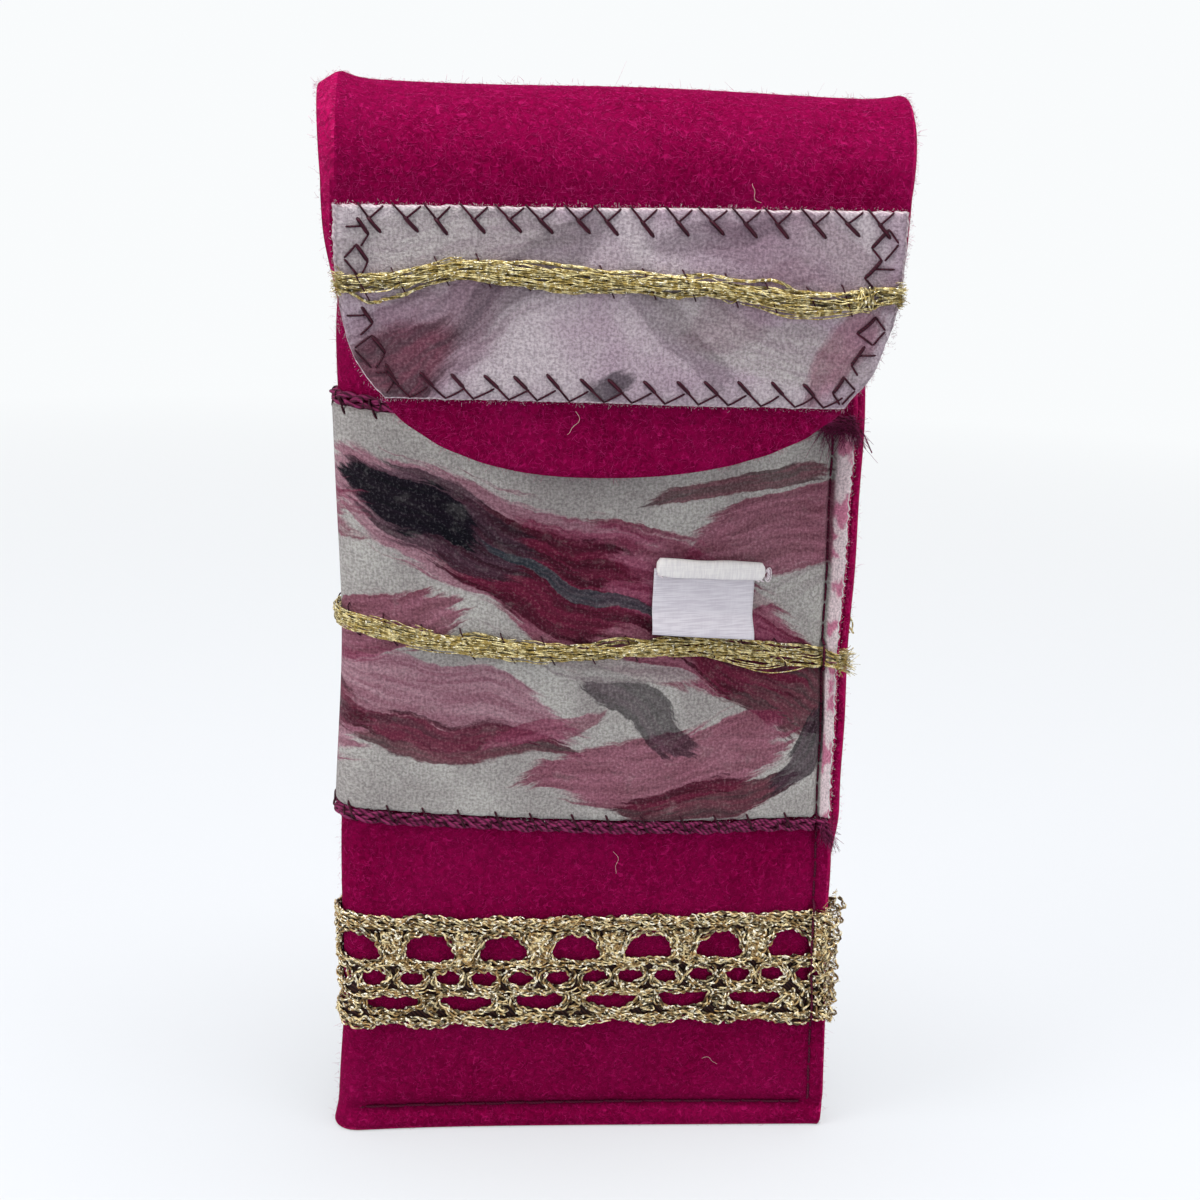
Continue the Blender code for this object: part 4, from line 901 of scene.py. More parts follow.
def bend_strip(name, start, end):
    x = np.concatenate([-FLAP_HALF + RIM_STEPS, np.linspace(-FLAP_HALF + 1.2, -FLAP_HALF + 9, 9),
                        np.linspace(-FLAP_HALF + 10.5, FLAP_HALF - 10.5, 40),
                        np.linspace(FLAP_HALF - 9, FLAP_HALF - 1.2, 9),
                        (FLAP_HALF - RIM_STEPS)[::-1]])
    angles = np.radians(np.linspace(start, end, 33))
    gx, ga = np.meshgrid(x, angles)
    drop = rim_drop(FLAP_HALF - np.abs(gx))
    return slab(name, bend_points(gx, ga, HALF_FELT - drop),
                bend_points(gx, ga, -HALF_FELT + drop), FELT, None, FELT_CUT_LIT, flip=True,
                edge_rings=3, joined_rows=(0, -1))


def flap_felt():
    x = places_across(FLAP_HALF, RIM_STEPS, 111)
    bottom = tongue_bottom(x)
    rows = [ease(BEND_Z, bottom + RIM, down) for down in np.linspace(0, 1, 61)[:-1] ** 1.02]
    rows += [bottom + step for step in RIM_STEPS[::-1]]
    gz = np.array(rows)
    gx = np.broadcast_to(x, gz.shape)
    drop = rim_drop(np.minimum(from_lower_edge(gz, bottom, x), FLAP_HALF - np.abs(gx)))
    return slab("felt_flap", flap_points(gx, gz, HALF_FELT - drop),
                flap_points(gx, gz, -HALF_FELT + drop), FELT, None, FELT_CUT_LIT, flip=True,
                joined_rows=(0,))


def chord(start, end):
    """The inner corners at the start and the end of a strip of the bend, in metres."""
    return [tuple(bend_points(0.0, math.radians(a), -HALF_FELT) * MM) for a in (start, end)]


STRIPS = (("felt_bend_back", 0, 60, "case", "bend_back"),
          ("felt_bend_top", 60, 120, "bend_back", "bend_front"),
          ("felt_bend_front", 120, 180, "bend_front", "flap"))

pouch = case_felt()
belongs(pouch, "case", "felt", "felt_body")
for name, start, end, one, other in STRIPS:
    strip = bend_strip(name, start, end)
    low, high = chord(start, end)
    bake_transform(strip)
    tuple(low)
    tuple(high)
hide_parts("flap_fold_back")
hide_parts("flap_fold_front")
flap = flap_felt()
belongs(flap, "flap", "felt", "flap_panel")


# velvet patches

VELVET_RIM = np.array([0.0, 0.04, 0.12, 0.28, 0.5, 0.8])
VELVET_FACE = 2.65
VELVET_BACK = 1.4


def body_patch():
    rise = np.concatenate([VELVET_RIM, np.linspace(1.5, PATCH_HEIGHT - 1.5, 110),
                           PATCH_HEIGHT - VELVET_RIM[::-1]])
    s, up = np.meshgrid(shares_round(0.93, 0.9915, VELVET_RIM), rise)
    ragged = 0.14 * np.sin(s * 310) * np.sin(s * 97 + 1) * np.where(up < 30, 1, -1)
    z = patch_bottom(s) + up + ragged * np.exp(-np.minimum(up, PATCH_HEIGHT - up))
    gap = np.minimum(np.minimum(up, PATCH_HEIGHT - up), (1 - np.abs(s)) * EDGE_LENGTH)
    drop = rim_drop(gap, VELVET_RIM[-1])
    frayed = np.sin(z * 2.3) * np.sin(z * 0.9 + 1) + 0.6 * np.sin(z * 4.1 + s)
    s = s + np.sign(s) * 0.22 / SHARE_LENGTH * frayed * smooth((np.abs(s) - 0.985) / 0.012)
    outer = body_points(s, z, VELVET_FACE - drop - seam_dip(s, z, 1.55))
    inner = body_points(s, z, VELVET_BACK - seam_dip(s, z, 0.9))
    return slab("velvet_body_patch", outer, inner, VELVET, edge_material=RAW_EDGE,
                edge_rings=2, cloth=(s * SHARE_LENGTH, z - PATCH_BOTTOM))


def flap_patch_top(x):
    return FLAP_PATCH_TOP + 0.9 * x / FLAP_HALF


def flap_patch_bottom(x):
    return np.maximum(FLAP_PATCH_BOTTOM, tongue_bottom(x) + 0.5)


PATCH_HALF = FLAP_HALF - 0.5
PATCH_REACH = 0.5


def flap_patch():
    x = places_across(PATCH_HALF, VELVET_RIM, 91) * (1 + PATCH_REACH / PATCH_HALF)
    top, bottom = flap_patch_top(x), flap_patch_bottom(x)
    ragged = 0.2 * np.sin(x * 3.1) * np.sin(x * 1.1 + 1)
    rows = [top - step + ragged for step in VELVET_RIM]
    rows += [ease(top - 0.8, bottom + 0.8, d) for d in np.linspace(0, 1, 33)[1:-1]]
    rows += [bottom + step - ragged for step in VELVET_RIM[::-1]]
    gz = np.array(rows)
    frayed = 0.16 * np.sin(gz * 2.6) * np.sin(gz * 1.1 + 1) * np.sign(x)
    gx = x + frayed * smooth((np.abs(x) - PATCH_HALF + 1.5) / 1.5)
    gap = np.minimum(np.minimum(from_lower_edge(gz, bottom, x), top - gz),
                     PATCH_HALF - np.abs(gx))
    outer = flap_points(gx, gz, VELVET_FACE - rim_drop(gap, VELVET_RIM[-1]))
    return slab("velvet_flap_patch", outer, flap_points(gx, gz, VELVET_BACK), FLAP_VELVET,
                edge_material=FLAP_EDGE, flip=True, edge_rings=3,
                cloth=(gx, gz - FLAP_PATCH_BOTTOM))


body_velvet = body_patch()
belongs(body_velvet, "case", "velvet", "body_velvet_patch")
flap_velvet = flap_patch()
belongs(flap_velvet, "flap", "velvet", "flap_velvet_patch")


# gold yarns


BODY_WAVE = ((-1.0, 0.1), (-0.7, -0.3), (-0.35, 0.2), (0.0, 0.75), (0.16, 0.1), (0.42, -0.28),
             (0.68, 0.02), (0.85, -0.6), (1.0, -1.0))
FLAP_WAVE = ((-1.0, -0.35), (-0.85, -0.5), (-0.58, 0.75), (-0.3, 0.35), (0.0, 0.1), (0.3, 0.1),
             (0.6, -0.75), (0.85, -0.55), (1.0, -0.05))


def body_yarn_z(share):
    return YARN_HEIGHT + 4.4 * wave(BODY_WAVE, share)


def flap_yarn_z(x):
    return FLAP_YARN_HEIGHT + 2.6 * wave(FLAP_WAVE, x / FLAP_HALF)


# A height at which the side seam's dip is whole, for what is laid across it
DIP_HEIGHT = 60.0


def share_along(lengths, along):
    """The share at a length round the body, which may run on past either edge."""
    past = np.clip(along - lengths[-1], 0, None) + np.clip(along, None, 0)
    return np.interp(along, lengths, SHARES) + past / EDGE_LENGTH


def round_body(z, offset, height_at):
    """Maps (length along, across, out) to points on a line round the body, and its length."""
    lengths = round_length(z, offset)

    def place(t, across, out):
        share = share_along(lengths, t)
        return body_points(share, height_at(share) + across,
                           out - seam_dip(share, DIP_HEIGHT, 1.0))

    return place, lengths[-1]


def flap_line(t, across, out):
    """Points on the gold yarn's line across the flap, by length along it."""
    x = t - FLAP_HALF
    return flap_points(x, flap_yarn_z(x) + across, out)


def twisted(place, start, end, lanes, plies, ply_radius, pitch, out, step, drift, crimp,
            wave_length):
    """Strands side by side, each of several plies wound round it."""
    t = np.arange(start, end, step)
    count = len(t)
    strands = len(lanes)
    nearest = np.minimum(t - start, end - t)
    drawn = 0.55 + 0.45 * smooth(nearest / 5)
    spread = 1 + wander(1, count, step, 6.5, 0.13)
    strays = wander(strands, count, step, wave_length, drift)
    centre = (np.array(lanes)[:, None] * spread + strays) * drawn
    height = out + wander(strands, count, step, wave_length * 0.6, drift * 0.55)
    centre = centre + wander(strands, count, step, 0.9, crimp)
    height = height + wander(strands, count, step, 0.8, crimp)
    pace = 1 + 0.12 * np.sin(t / 5.0)[None] + wander(strands, count, step, 4.0, 0.1)
    turn = 2 * np.pi * np.cumsum(np.broadcast_to(pace, centre.shape), axis=1) * step / pitch
    paths = []
    for ply in range(plies):
        angle = turn + 2 * np.pi * ply / plies + np.arange(strands)[:, None] * 1.3
        paths.append(place(np.broadcast_to(t, centre.shape),
                           centre + ply_radius * 1.05 * np.cos(angle),
                           height + ply_radius * 1.05 * np.sin(angle)))
    return np.concatenate(paths)


def wisps(place, start, end, count, width, out, radius, step, lengths=(9, 26)):
    """Thin loose filaments that wander across the bundle and leave it here and there."""
    groups = []
    for _ in range(count):
        length = RANDOM.uniform(*lengths)
        first = RANDOM.uniform(start, max(end - length, start + 1))
        t = np.arange(first, min(first + length, end), step)
        along = (t - t[0]) / (t[-1] - t[0])
        bow = np.sin(np.pi * along)
        one, other = RANDOM.uniform(-width, width, 2)
        across = ease(one, other, smooth(along)) + RANDOM.uniform(-0.5, 0.5) * bow
        across = across + wander(1, len(t), step, 3, 0.15)[0]
        height = out + 0.25 * bow + wander(1, len(t), step, 2, 0.1)[0]
        groups.append((place(t, across, height)[None], radius, 4, [RANDOM.uniform(0, 0.3)]))
    return groups


def tuft(at, direction, count, length, spread, radius, bend=0.5, tone=(0.0, 0.6)):
    """A bunch of short curved fibres from one place, in millimetres."""
    direction = unit(np.array(direction, float))
    k = 9
    t = np.linspace(0, 1, k)[None, :, None]
    heads = unit(direction + RANDOM.normal(0, spread, (count, 3)))[:, None]
    curl = RANDOM.normal(0, bend, (count, 1, 3))
    size = length * RANDOM.uniform(0.35, 1.0, (count, 1, 1))
    feet = np.array(at, float) + RANDOM.normal(0, 0.35, (count, 1, 3))
    paths = feet + size * (heads * t + curl * t ** 2)
    return (paths, radius * np.linspace(1, 0.45, k), 3, RANDOM.uniform(*tone, count))


def bundle_knot(place, at, tall, thick, turns):
    """The same yarn tied round the bundle."""
    t = np.linspace(0, 2 * np.pi, 33)
    rings = []
    for k in range(turns):
        lean = RANDOM.uniform(-0.9, 0.9)
        size = tall * RANDOM.uniform(0.8, 1.05)
        along = at + 0.4 * (k - turns / 2) + lean * np.cos(t) + 0.2 * np.sin(3 * t + k)
        rings.append(place(along, size * np.cos(t), 2.95 + thick * np.sin(t)))
    return (np.array(rings), 0.15, 6, RANDOM.uniform(0, 0.9, turns))


def light_and_dark(count):
    """Tones of strands, half of them bright and half dark: the dark ones are painted shade in the
    gaps between the bright ones.
    """
    bright = RANDOM.uniform(0, 1, count) < 0.55
    return np.where(bright, RANDOM.uniform(0, 0.25, count), RANDOM.uniform(0.5, 1.0, count))


YARN_OUT = 3.1


def gold_bundle(name, place, start, end, body, node, knot, tails, sag):
    lanes = np.linspace(-1.55, 1.55, 7)
    paths = twisted(place, start, end, lanes, 4, 0.16, 4.6, YARN_OUT, 0.4, 0.52, 0.05, 6.5)
    groups = [(paths, 0.13, 5, light_and_dark(len(paths)))]
    density = (end - start) / CASE_WIDTH
    groups += wisps(place, start + 2, end - 2, int(40 * density), 2.0, 3.35, 0.1, 0.6)
    groups += wisps(place, start + 2, end - 2, int(60 * density), 1.4, 3.7, 0.1, 0.6)
    for t, way in ((start, -1), (end, 1)):
        here, there = place(t - way * 0.6, 0, YARN_OUT), place(t + way * 0.6, 0, YARN_OUT)
        size = tails[0] if way < 0 else tails[1]
        for lane in (-1.3, -0.65, 0.0, 0.65, 1.3):
            groups.append(tuft(here + [0, 0, lane], there - here, 26, size, 0.25, 0.1, 0.3))
    for depth, lead, reach in ((0.7, 23, 13), (1.1, 27, 17), (1.5, 25, 15), (2.1, 24, 18)):
        t = np.linspace(end - lead, end - lead + reach, 70)
        hang = np.abs(np.sin(np.pi * (t - t[0]) / reach)) ** 0.8
        down = depth * sag * hang + wander(1, len(t), 0.2, 3, 0.08)[0]
        groups.append((place(t, -1.6 - down, YARN_OUT + 0.3 * hang)[None], 0.1, 4, [0.1]))
    groups.append(bundle_knot(place, knot, 1.9, 1.0, 8))
    belongs(tubes(name, groups, GOLD), body, "gold_yarn", node)


body_line, body_length = round_body(95.5, 3.3, body_yarn_z)
gold_bundle("gold_yarn_round_body", body_line, 0.2, body_length + 1.4, "case",
            "body_gold_yarn", 0.8, (0.8, 2.4), 1.0)
gold_bundle("gold_yarn_on_flap", flap_line, -0.1, 2 * FLAP_HALF + 0.2, "flap",
            "flap_gold_yarn", 2 * FLAP_HALF - 6, (1.2, 1.1), 0.55)


# plum yarns


def plait(place, start, end, width, out, radius, pitch):
    """Three strands plaited together, each of two plies."""
    plies, step = 2, 0.3
    t = np.arange(start, end, step)
    paths = []
    for strand in range(3):
        phase = 2 * np.pi * (t / pitch + strand / 3)
        across = 0.5 * width * np.sin(phase) + wander(1, len(t), step, 5, 0.06)[0]
        height = out + 0.3 * np.sin(2 * phase)
        for ply in range(plies):
            angle = 2 * np.pi * (t / (pitch * 1.2) + ply / plies) + strand
            paths.append(place(t, across + radius * 0.9 * np.cos(angle),
                               height + radius * 0.9 * np.sin(angle)))
    return np.array(paths)


def plum_line(top):
    """The line of the plum yarn above or below the velvet, and its length."""
    def height(share):
        edge = PATCH_HEIGHT + 0.55 if top else -0.55
        return patch_bottom(share) + edge + (0.75 if top else -0.75)
    return round_body(134.0 if top else 62.0, 2.3, height)


for name, node, top in (("plum_yarn_above", "top_plum_yarn", True),
                        ("plum_yarn_below", "bottom_plum_yarn", False)):
    line, length = plum_line(top)
    paths = plait(line, 0.3, length - 0.2, 1.5, 2.2, 0.26, 12.0)
    groups = [(paths, 0.33, 6, RANDOM.uniform(0, 0.6, len(paths)))]
    tail = line(length - 0.8, 0, 2.3)
    groups.append(tuft(tail, (0.35, -0.2, -1.0), 150, 4.6, 0.16, 0.08, 0.2))
    groups.append(tuft(tail, (0.9, -0.3, 0.0), 90, 1.2, 0.8, 0.055, 0.8, (0.0, 0.5)))
    if top:
        for back in (1.0, 2.5, 4.0, 5.5):
            at = line(length - back, -0.6, 2.9)
            groups.append(tuft(at, (-0.5, -0.4, -0.8), 90, 3.4, 0.6, 0.07, 0.7, (0.0, 0.9)))
        t = np.linspace(0, 1, 24)
        stray = tail + np.column_stack([0.6 + 3.2 * t, -0.8 - 0.3 * t,
                                        -1.2 - 3.2 * t + 0.9 * np.sin(4 * t)])
        groups.append((stray[None], 0.12, 6, [0.8]))
    belongs(tubes(name, groups, PLUM), "case", "plum_yarn", node)


# gold lace

TOP_HOLE = ((0.19, 0.10), (0.35, 0.07), (0.50, 0.07), (0.65, 0.07), (0.81, 0.10), (0.80, 0.30),
            (0.72, 0.46), (0.63, 0.54), (0.50, 0.56), (0.37, 0.54), (0.28, 0.46), (0.20, 0.30))
MIDDLE_HOLE = ((0.25, 0.36), (0.50, 0.28), (0.75, 0.36), (0.84, 0.50), (0.75, 0.66),
               (0.50, 0.74), (0.25, 0.66), (0.16, 0.50))
BOTTOM_HOLE = ((0.24, 0.60), (0.38, 0.52), (0.50, 0.49), (0.62, 0.52), (0.76, 0.60),
               (0.84, 0.75), (0.80, 0.90), (0.64, 0.90), (0.50, 0.88), (0.36, 0.90),
               (0.20, 0.90), (0.16, 0.75))
LACE_HEIGHT = sum(LACE_ROWS)
LACE_LENGTHS = round_length(LACE_BOTTOM + LACE_HEIGHT / 2, ON_FELT)
LACE_END = LACE_LENGTHS[-1]
REPEAT = LACE_END / LACE_REPEATS
LACE_OUT = 2.3


def lace_points(along, up, offset):
    """A place on the lace: along and up from its lower corner, in millimetres."""
    share = share_along(LACE_LENGTHS, along)
    z = LACE_BOTTOM + up + 0.25 * np.sin(along / 11)
    return body_points(share, z, offset - seam_dip(share, DIP_HEIGHT))


def closed_curve(corners, count):
    """A smooth closed line through its corners."""
    p = np.array(corners, float)
    t = np.linspace(0, len(p), count, endpoint=False)
    i = t.astype(int)
    f = (t - i)[:, None]
    a, b, c, d = (p[(i + k) % len(p)] for k in (-1, 0, 1, 2))
    return 0.5 * (2 * b + (c - a) * f + (2 * a - 5 * b + 4 * c - d) * f ** 2
                  + (3 * b - a - 3 * c + d) * f ** 3)


def lace_holes():
    low, middle = LACE_ROWS[0], LACE_ROWS[0] + LACE_ROWS[1]
    cells = []
    for r in range(LACE_REPEATS):
        cells.append((r, 1.0, middle, LACE_ROWS[2], TOP_HOLE, 46))
        cells += [(r + k / 2, 0.5, low, LACE_ROWS[1], MIDDLE_HOLE, 24) for k in (0, 1)]
        if r < LACE_REPEATS - 1:
            cells.append((r + 0.5, 1.0, 0.0, low, BOTTOM_HOLE, 40))
    holes = []
    for left, wide, bottom, tall, shares, count in cells:
        jitter = RANDOM.normal(0, 0.012, (len(shares), 2))
        corners = [((left + wide * (a + ja)) * REPEAT, bottom + tall * (b + jb))
                   for (a, b), (ja, jb) in zip(shares, jitter)]
        holes.append(closed_curve(corners, count))
    return holes


def scallop(along, size=0.7):
    return size * np.cos(2 * np.pi * along / REPEAT)


def lace_paths():
    """Lines that the lace's strands follow, by piece, as points in the lace's plane."""
    holes = lace_holes()
    everything = np.concatenate(holes)
    owner = np.concatenate([np.full(len(h), k) for k, h in enumerate(holes)])
    rings, rails, pillars = [], [], []
    for k, hole in enumerate(holes):
        tangent = unit(np.roll(hole, -1, 0) - np.roll(hole, 1, 0))
        normal = np.column_stack([tangent[:, 1], -tangent[:, 0]])
        others = everything[owner != k]
        near = np.sqrt(((hole[:, None] - others[None]) ** 2).sum(-1)).min(1)
        near = np.minimum(near, 2 * (hole[:, 1] + 0.2))
        room = np.minimum(near / 2, 1.3)
        for place in (0.27, 0.78):
            ring = hole + normal * (room * place)[:, None]
            rings.append(np.concatenate([ring, ring[:3]]))
    span = np.arange(-0.9, LACE_END + 1.2, 0.5)
    for depth in (1.0, 1.6, 2.3, 3.0):
        rails.append(np.column_stack([span, LACE_HEIGHT - depth
                                      - scallop(span, 0.4) * (1 - depth / 4)]))
    for depth in (0.35, 0.95, 1.6):
        rails.append(np.column_stack([span, depth + scallop(span) * max(1 - depth / 3, 0)]))
    base = LACE_ROWS[0] + LACE_ROWS[1]
    for r in range(LACE_REPEATS + 1):
        for shift in (0.0, 1.9, 4.1):
            up = np.linspace(base + 0.2, base + 6.3, 60)
            sway = 1.9 * (0.6 + 0.4 * (up - base) / 6) * np.sin(up * 4.3 + r + shift)
            pillars.append(np.column_stack([np.clip(r * REPEAT + sway, 0, LACE_END), up]))
        for lean in (-2.5, -1.5, -0.5, 0.5, 1.5, 2.5):
            up = np.linspace(base + 0.3, base + 6.4, 30)
            fan = lean * (0.5 + 0.6 * (up - base) / 6)
            pillars.append(np.column_stack([np.clip(r * REPEAT + fan, 0, LACE_END), up]))
        if r < LACE_REPEATS:
            up = np.linspace(2.4, LACE_ROWS[0] - 0.2, 40)
            pillars.append(np.column_stack([(r + 0.5) * REPEAT + np.sin(up * 5.2 + r), up]))
    for end, way in ((0.0, 1), (LACE_END, -1)):
        for k, inset in enumerate((-1.2, -0.2, 0.8, 2.0, 3.2, 4.4, 5.6)):
            up = np.linspace(0.6, LACE_ROWS[0] + 0.4 if inset > 2.5 else LACE_HEIGHT - 1.0, 110)
            past = 0.8 * smooth((up - base) / 3) if inset < 0 else 0.0
            sway = 0.5 * np.sin(up * 2.1 + 2.2 * k) + 0.2 * np.sin(up * 4.7 + k) - past
            rails.append(np.column_stack([end + way * (inset + sway), up]))
    return {"rings": rings, "rails": rails, "pillars": pillars}, holes


def lace():
    lines, holes = lace_paths()
    groups = {part: [] for part in lines}
    for part, line in ((part, line) for part in lines for line in lines[part]):
        lengths = lengths_along(line)
        step = 0.3
        t = np.arange(0, lengths[-1], step)
        if len(t) < 8:
            continue
        flat = np.column_stack([np.interp(t, lengths, line[:, k]) for k in (0, 1)])
        flat = flat + np.column_stack([wander(1, len(t), step, 1.2, 0.17)[0] for _ in (0, 1)])
        out = LACE_OUT + wander(1, len(t), step, 1.2, 0.2)[0]
        turn = 2 * np.pi * t / 2.6 + RANDOM.uniform(0, 6)
        side = unit(np.gradient(flat, axis=0))
        normal = np.column_stack([-side[:, 1], side[:, 0]])
        # The upper ply is light and the lower ply dark: painted shade under the upper ply.
        for ply, radius, rise, tone in ((0, 0.19, 0.12, (0, 0.3)), (np.pi, 0.2, -0.14, (0.6, 1))):
            place = flat + normal * (0.24 * np.cos(turn + ply))[:, None]
            path = lace_points(place[:, 0], place[:, 1], out + rise + 0.2 * np.sin(turn + ply))
            groups[part].append((path[None], radius, 5, [RANDOM.uniform(*tone)]))
    for middle, width, count in ((LACE_HEIGHT - 1.7, 1.1, 260), (1.3, 0.9, 220), (6.6, 0.7, 110),
                                 (12.6, 0.7, 130)):
        groups["rails"] += wisps(lambda t, across, out, m=middle: lace_points(t, m + across, out),
                                 0.5, LACE_END - 0.5, count, width, 2.55, 0.14, 0.3, (1.6, 4.5))
    for up in np.linspace(1, LACE_HEIGHT - 0.5, 15):
        for end, aside, count, length in ((LACE_END, -0.2, 16, 1.4), (0.0, 0.2, 8, 0.9)):
            groups["pillars"].append(tuft(lace_points(end, up, LACE_OUT), (1, aside, 0.1), count,
                                          length, 0.4, 0.09))
    return [tubes("gold_lace_" + part, groups[part], LACE) for part in groups], holes


def lace_shade_sheet(holes):
    """A dark thin sheet under the lace's strands, with the same holes: painted shade, where shade
    falls between the strands.
    """
    ga, gu = np.meshgrid(np.arange(0, LACE_END + 0.01, 0.36), np.linspace(0, 1, 58))
    gv = ease(0.35 + scallop(ga), LACE_HEIGHT - 1.1 - scallop(ga, 0.35), gu)
    keep = np.ones(ga.shape, bool)
    for hole in holes:
        centre = hole.mean(0)
        angle = np.arctan2(hole[:, 1] - centre[1], hole[:, 0] - centre[0])
        size = np.hypot(*(hole - centre).T)
        order = np.argsort(angle)
        here = np.arctan2(gv - centre[1], ga - centre[0])
        reach = np.interp(here, angle[order], size[order], period=2 * np.pi)
        keep &= np.hypot(gv - centre[1], ga - centre[0]) > reach + 0.22
    used, faces = np.unique(cells(keep)[1], return_inverse=True)
    points = lace_points(ga, gv, 1.85).reshape(-1, 3)[used]
    return new_object("gold_lace_ground", points, [faces.reshape(-1, 4)], LACE_SHADE_SHEET)


lace_strands, lace_hole_lines = lace()
for piece in lace_strands:
    belongs(piece, "case", "gold_lace", "gold_lace_band")
belongs(lace_shade_sheet(lace_hole_lines), "case", "gold_lace")


# stitching


def ends_down(t, part):
    """1 at both ends of a stitch, and 0 past the first and last part of it."""
    return np.maximum(1 - t / part, 0) + np.maximum(1 - (1 - t) / part, 0)


def laid(place, one, other, out, sink=0.35):
    """A stitch between two places on a surface, its ends going down into it."""
    t = np.linspace(0, 1, 9)
    a, b = (ease(one[k], other[k], t) for k in (0, 1))
    return place(a, b, out + 0.12 * np.sin(np.pi * t) - sink * ends_down(t, 0.16))


def stitched(name, body, nodes, paths, radius, material, extra=()):
    """Stitches along paths, with one radius for all or one for each."""
    thick = np.reshape(radius, (-1, 1))
    groups = [(np.array(paths), thick, 6, RANDOM.uniform(0, 0.6, len(paths)))]
    belongs(tubes(name, groups + list(extra), material), body, "thread", *nodes)


STITCH_PITCH, STITCH_LENGTH = 3.7, 3.4
STITCH = np.linspace(0, 1, 11)


def seam_cover(z, share):
    """Offset of whatever crosses the side seam at height z."""
    low, yarn, bare = patch_bottom(share), body_yarn_z(share), 0.75
    high = low + PATCH_HEIGHT
    height = np.full(np.shape(z), bare)
    for first, last, top in (
            (LACE_BOTTOM, LACE_BOTTOM + LACE_HEIGHT, 2.05), (low, high, 1.25),
            (yarn - 2.2, yarn + 2.2, 3.05), (low - 2.4, low - 0.2, 1.9),
            (high + 0.2, high + 2.4, 1.9)):
        inside = smooth((z - first + 0.8) / 0.8) * smooth((last + 0.8 - z) / 0.8)
        height = np.maximum(height, ease(bare, top, inside))
    return height


def side_seam(name, side, node):
    paths = []
    for z in np.arange(BOTTOM_SEAM + 0.6, MOUTH - 4, STITCH_PITCH):
        levels = z + STITCH_LENGTH * STITCH
        share = side * SEAM_SHARE + 0.0006 * np.sin(levels)
        cover = seam_cover(levels, side * SEAM_SHARE)
        paths.append(body_points(share, levels, cover - 0.3 * ends_down(STITCH, 0.14)))
    stitched(name, "case", [node], paths, 0.24, SEAM_THREAD)


def bottom_seam(name, side, node):
    lengths = round_length(BOTTOM_SEAM, 1.0)
    middle = np.interp(0, SHARES, lengths)
    paths = []
    reach = abs(np.interp(side * SEAM_SHARE, SHARES, lengths) - middle)
    for along in np.arange(3.5, reach - 2.5, STITCH_PITCH):
        share = np.interp(middle + side * (along + STITCH_LENGTH * STITCH), lengths, SHARES)
        paths.append(body_points(share, BOTTOM_SEAM + 0.05 * np.sin(along),
                                 0.5 - 0.3 * ends_down(STITCH, 0.14)))
    stitched(name, "case", [node], paths, 0.24, SEAM_THREAD)


for sew, seam in ((side_seam, "side_seam"), (bottom_seam, "bottom_seam")):
    for side, face in ((1, "front"), (-1, "back")):
        sew(f"{seam}_stitches_{face}", side, f"{seam}_thread_{face}")


def couching(name, body, node, place, start, end, pitch):
    """Small slanting stitches over a gold yarn, a little past its edges."""
    foot, top = 2.55, 3.5
    k = np.linspace(-1, 1, 15)
    over = np.sqrt(np.clip(1 - np.abs(k) ** 4, 0, 1))
    paths = []
    for t0 in np.arange(start, end, pitch):
        t0 = t0 + RANDOM.uniform(-0.4, 0.4)
        reach = 1.7 + RANDOM.uniform(0.5, 1.0)
        paths.append(place(t0 - 0.5 * k * reach, k * reach, foot + (top - foot) * over))
    stitched(name, body, [node], paths, 0.13, THREAD)


couching("couching_on_body_yarn", "case", "body_yarn_couching", body_line,
         5, body_length - 6, 7.0)
couching("couching_on_flap_yarn", "flap", "flap_yarn_couching", flap_line,
         4, 2 * FLAP_HALF - 4, 6.6)


def plum_couching(name, node, top):
    """Slanting stitches from the plum yarn up or down over the velvet's edge."""
    line, length = plum_line(top)
    way = -1 if top else 1
    k = np.linspace(0, 1, 15)
    over = np.interp(k, [0, 0.08, 0.3, 0.5, 0.6, 0.9, 1.0],
                     [1.6, 2.3, 2.95, 2.75, 2.75, 2.8, 2.45])
    long_ones = [line(t0 + RANDOM.uniform(-0.5, 0.5) - way * 1.5 * (k - 0.5),
                      way * (-0.9 + 3.4 * k), over) for t0 in np.arange(4, length - 5, 6.5)]
    bow = np.sin(np.pi * k)
    bound = [line(t0 + 0.9 * bow * (1 if int(t0) % 2 else -1), -1.1 + 2.2 * k,
                  2.0 + 0.85 * bow ** 0.6) for t0 in np.arange(5, length - 4, 3.25)]
    thick = np.repeat([0.22, 0.13], [len(long_ones), len(bound)])
    stitched(name, "case", [node], long_ones + bound, thick, THREAD)


plum_couching("couching_above", "top_plum_couching", True)
plum_couching("couching_below", "bottom_plum_couching", False)


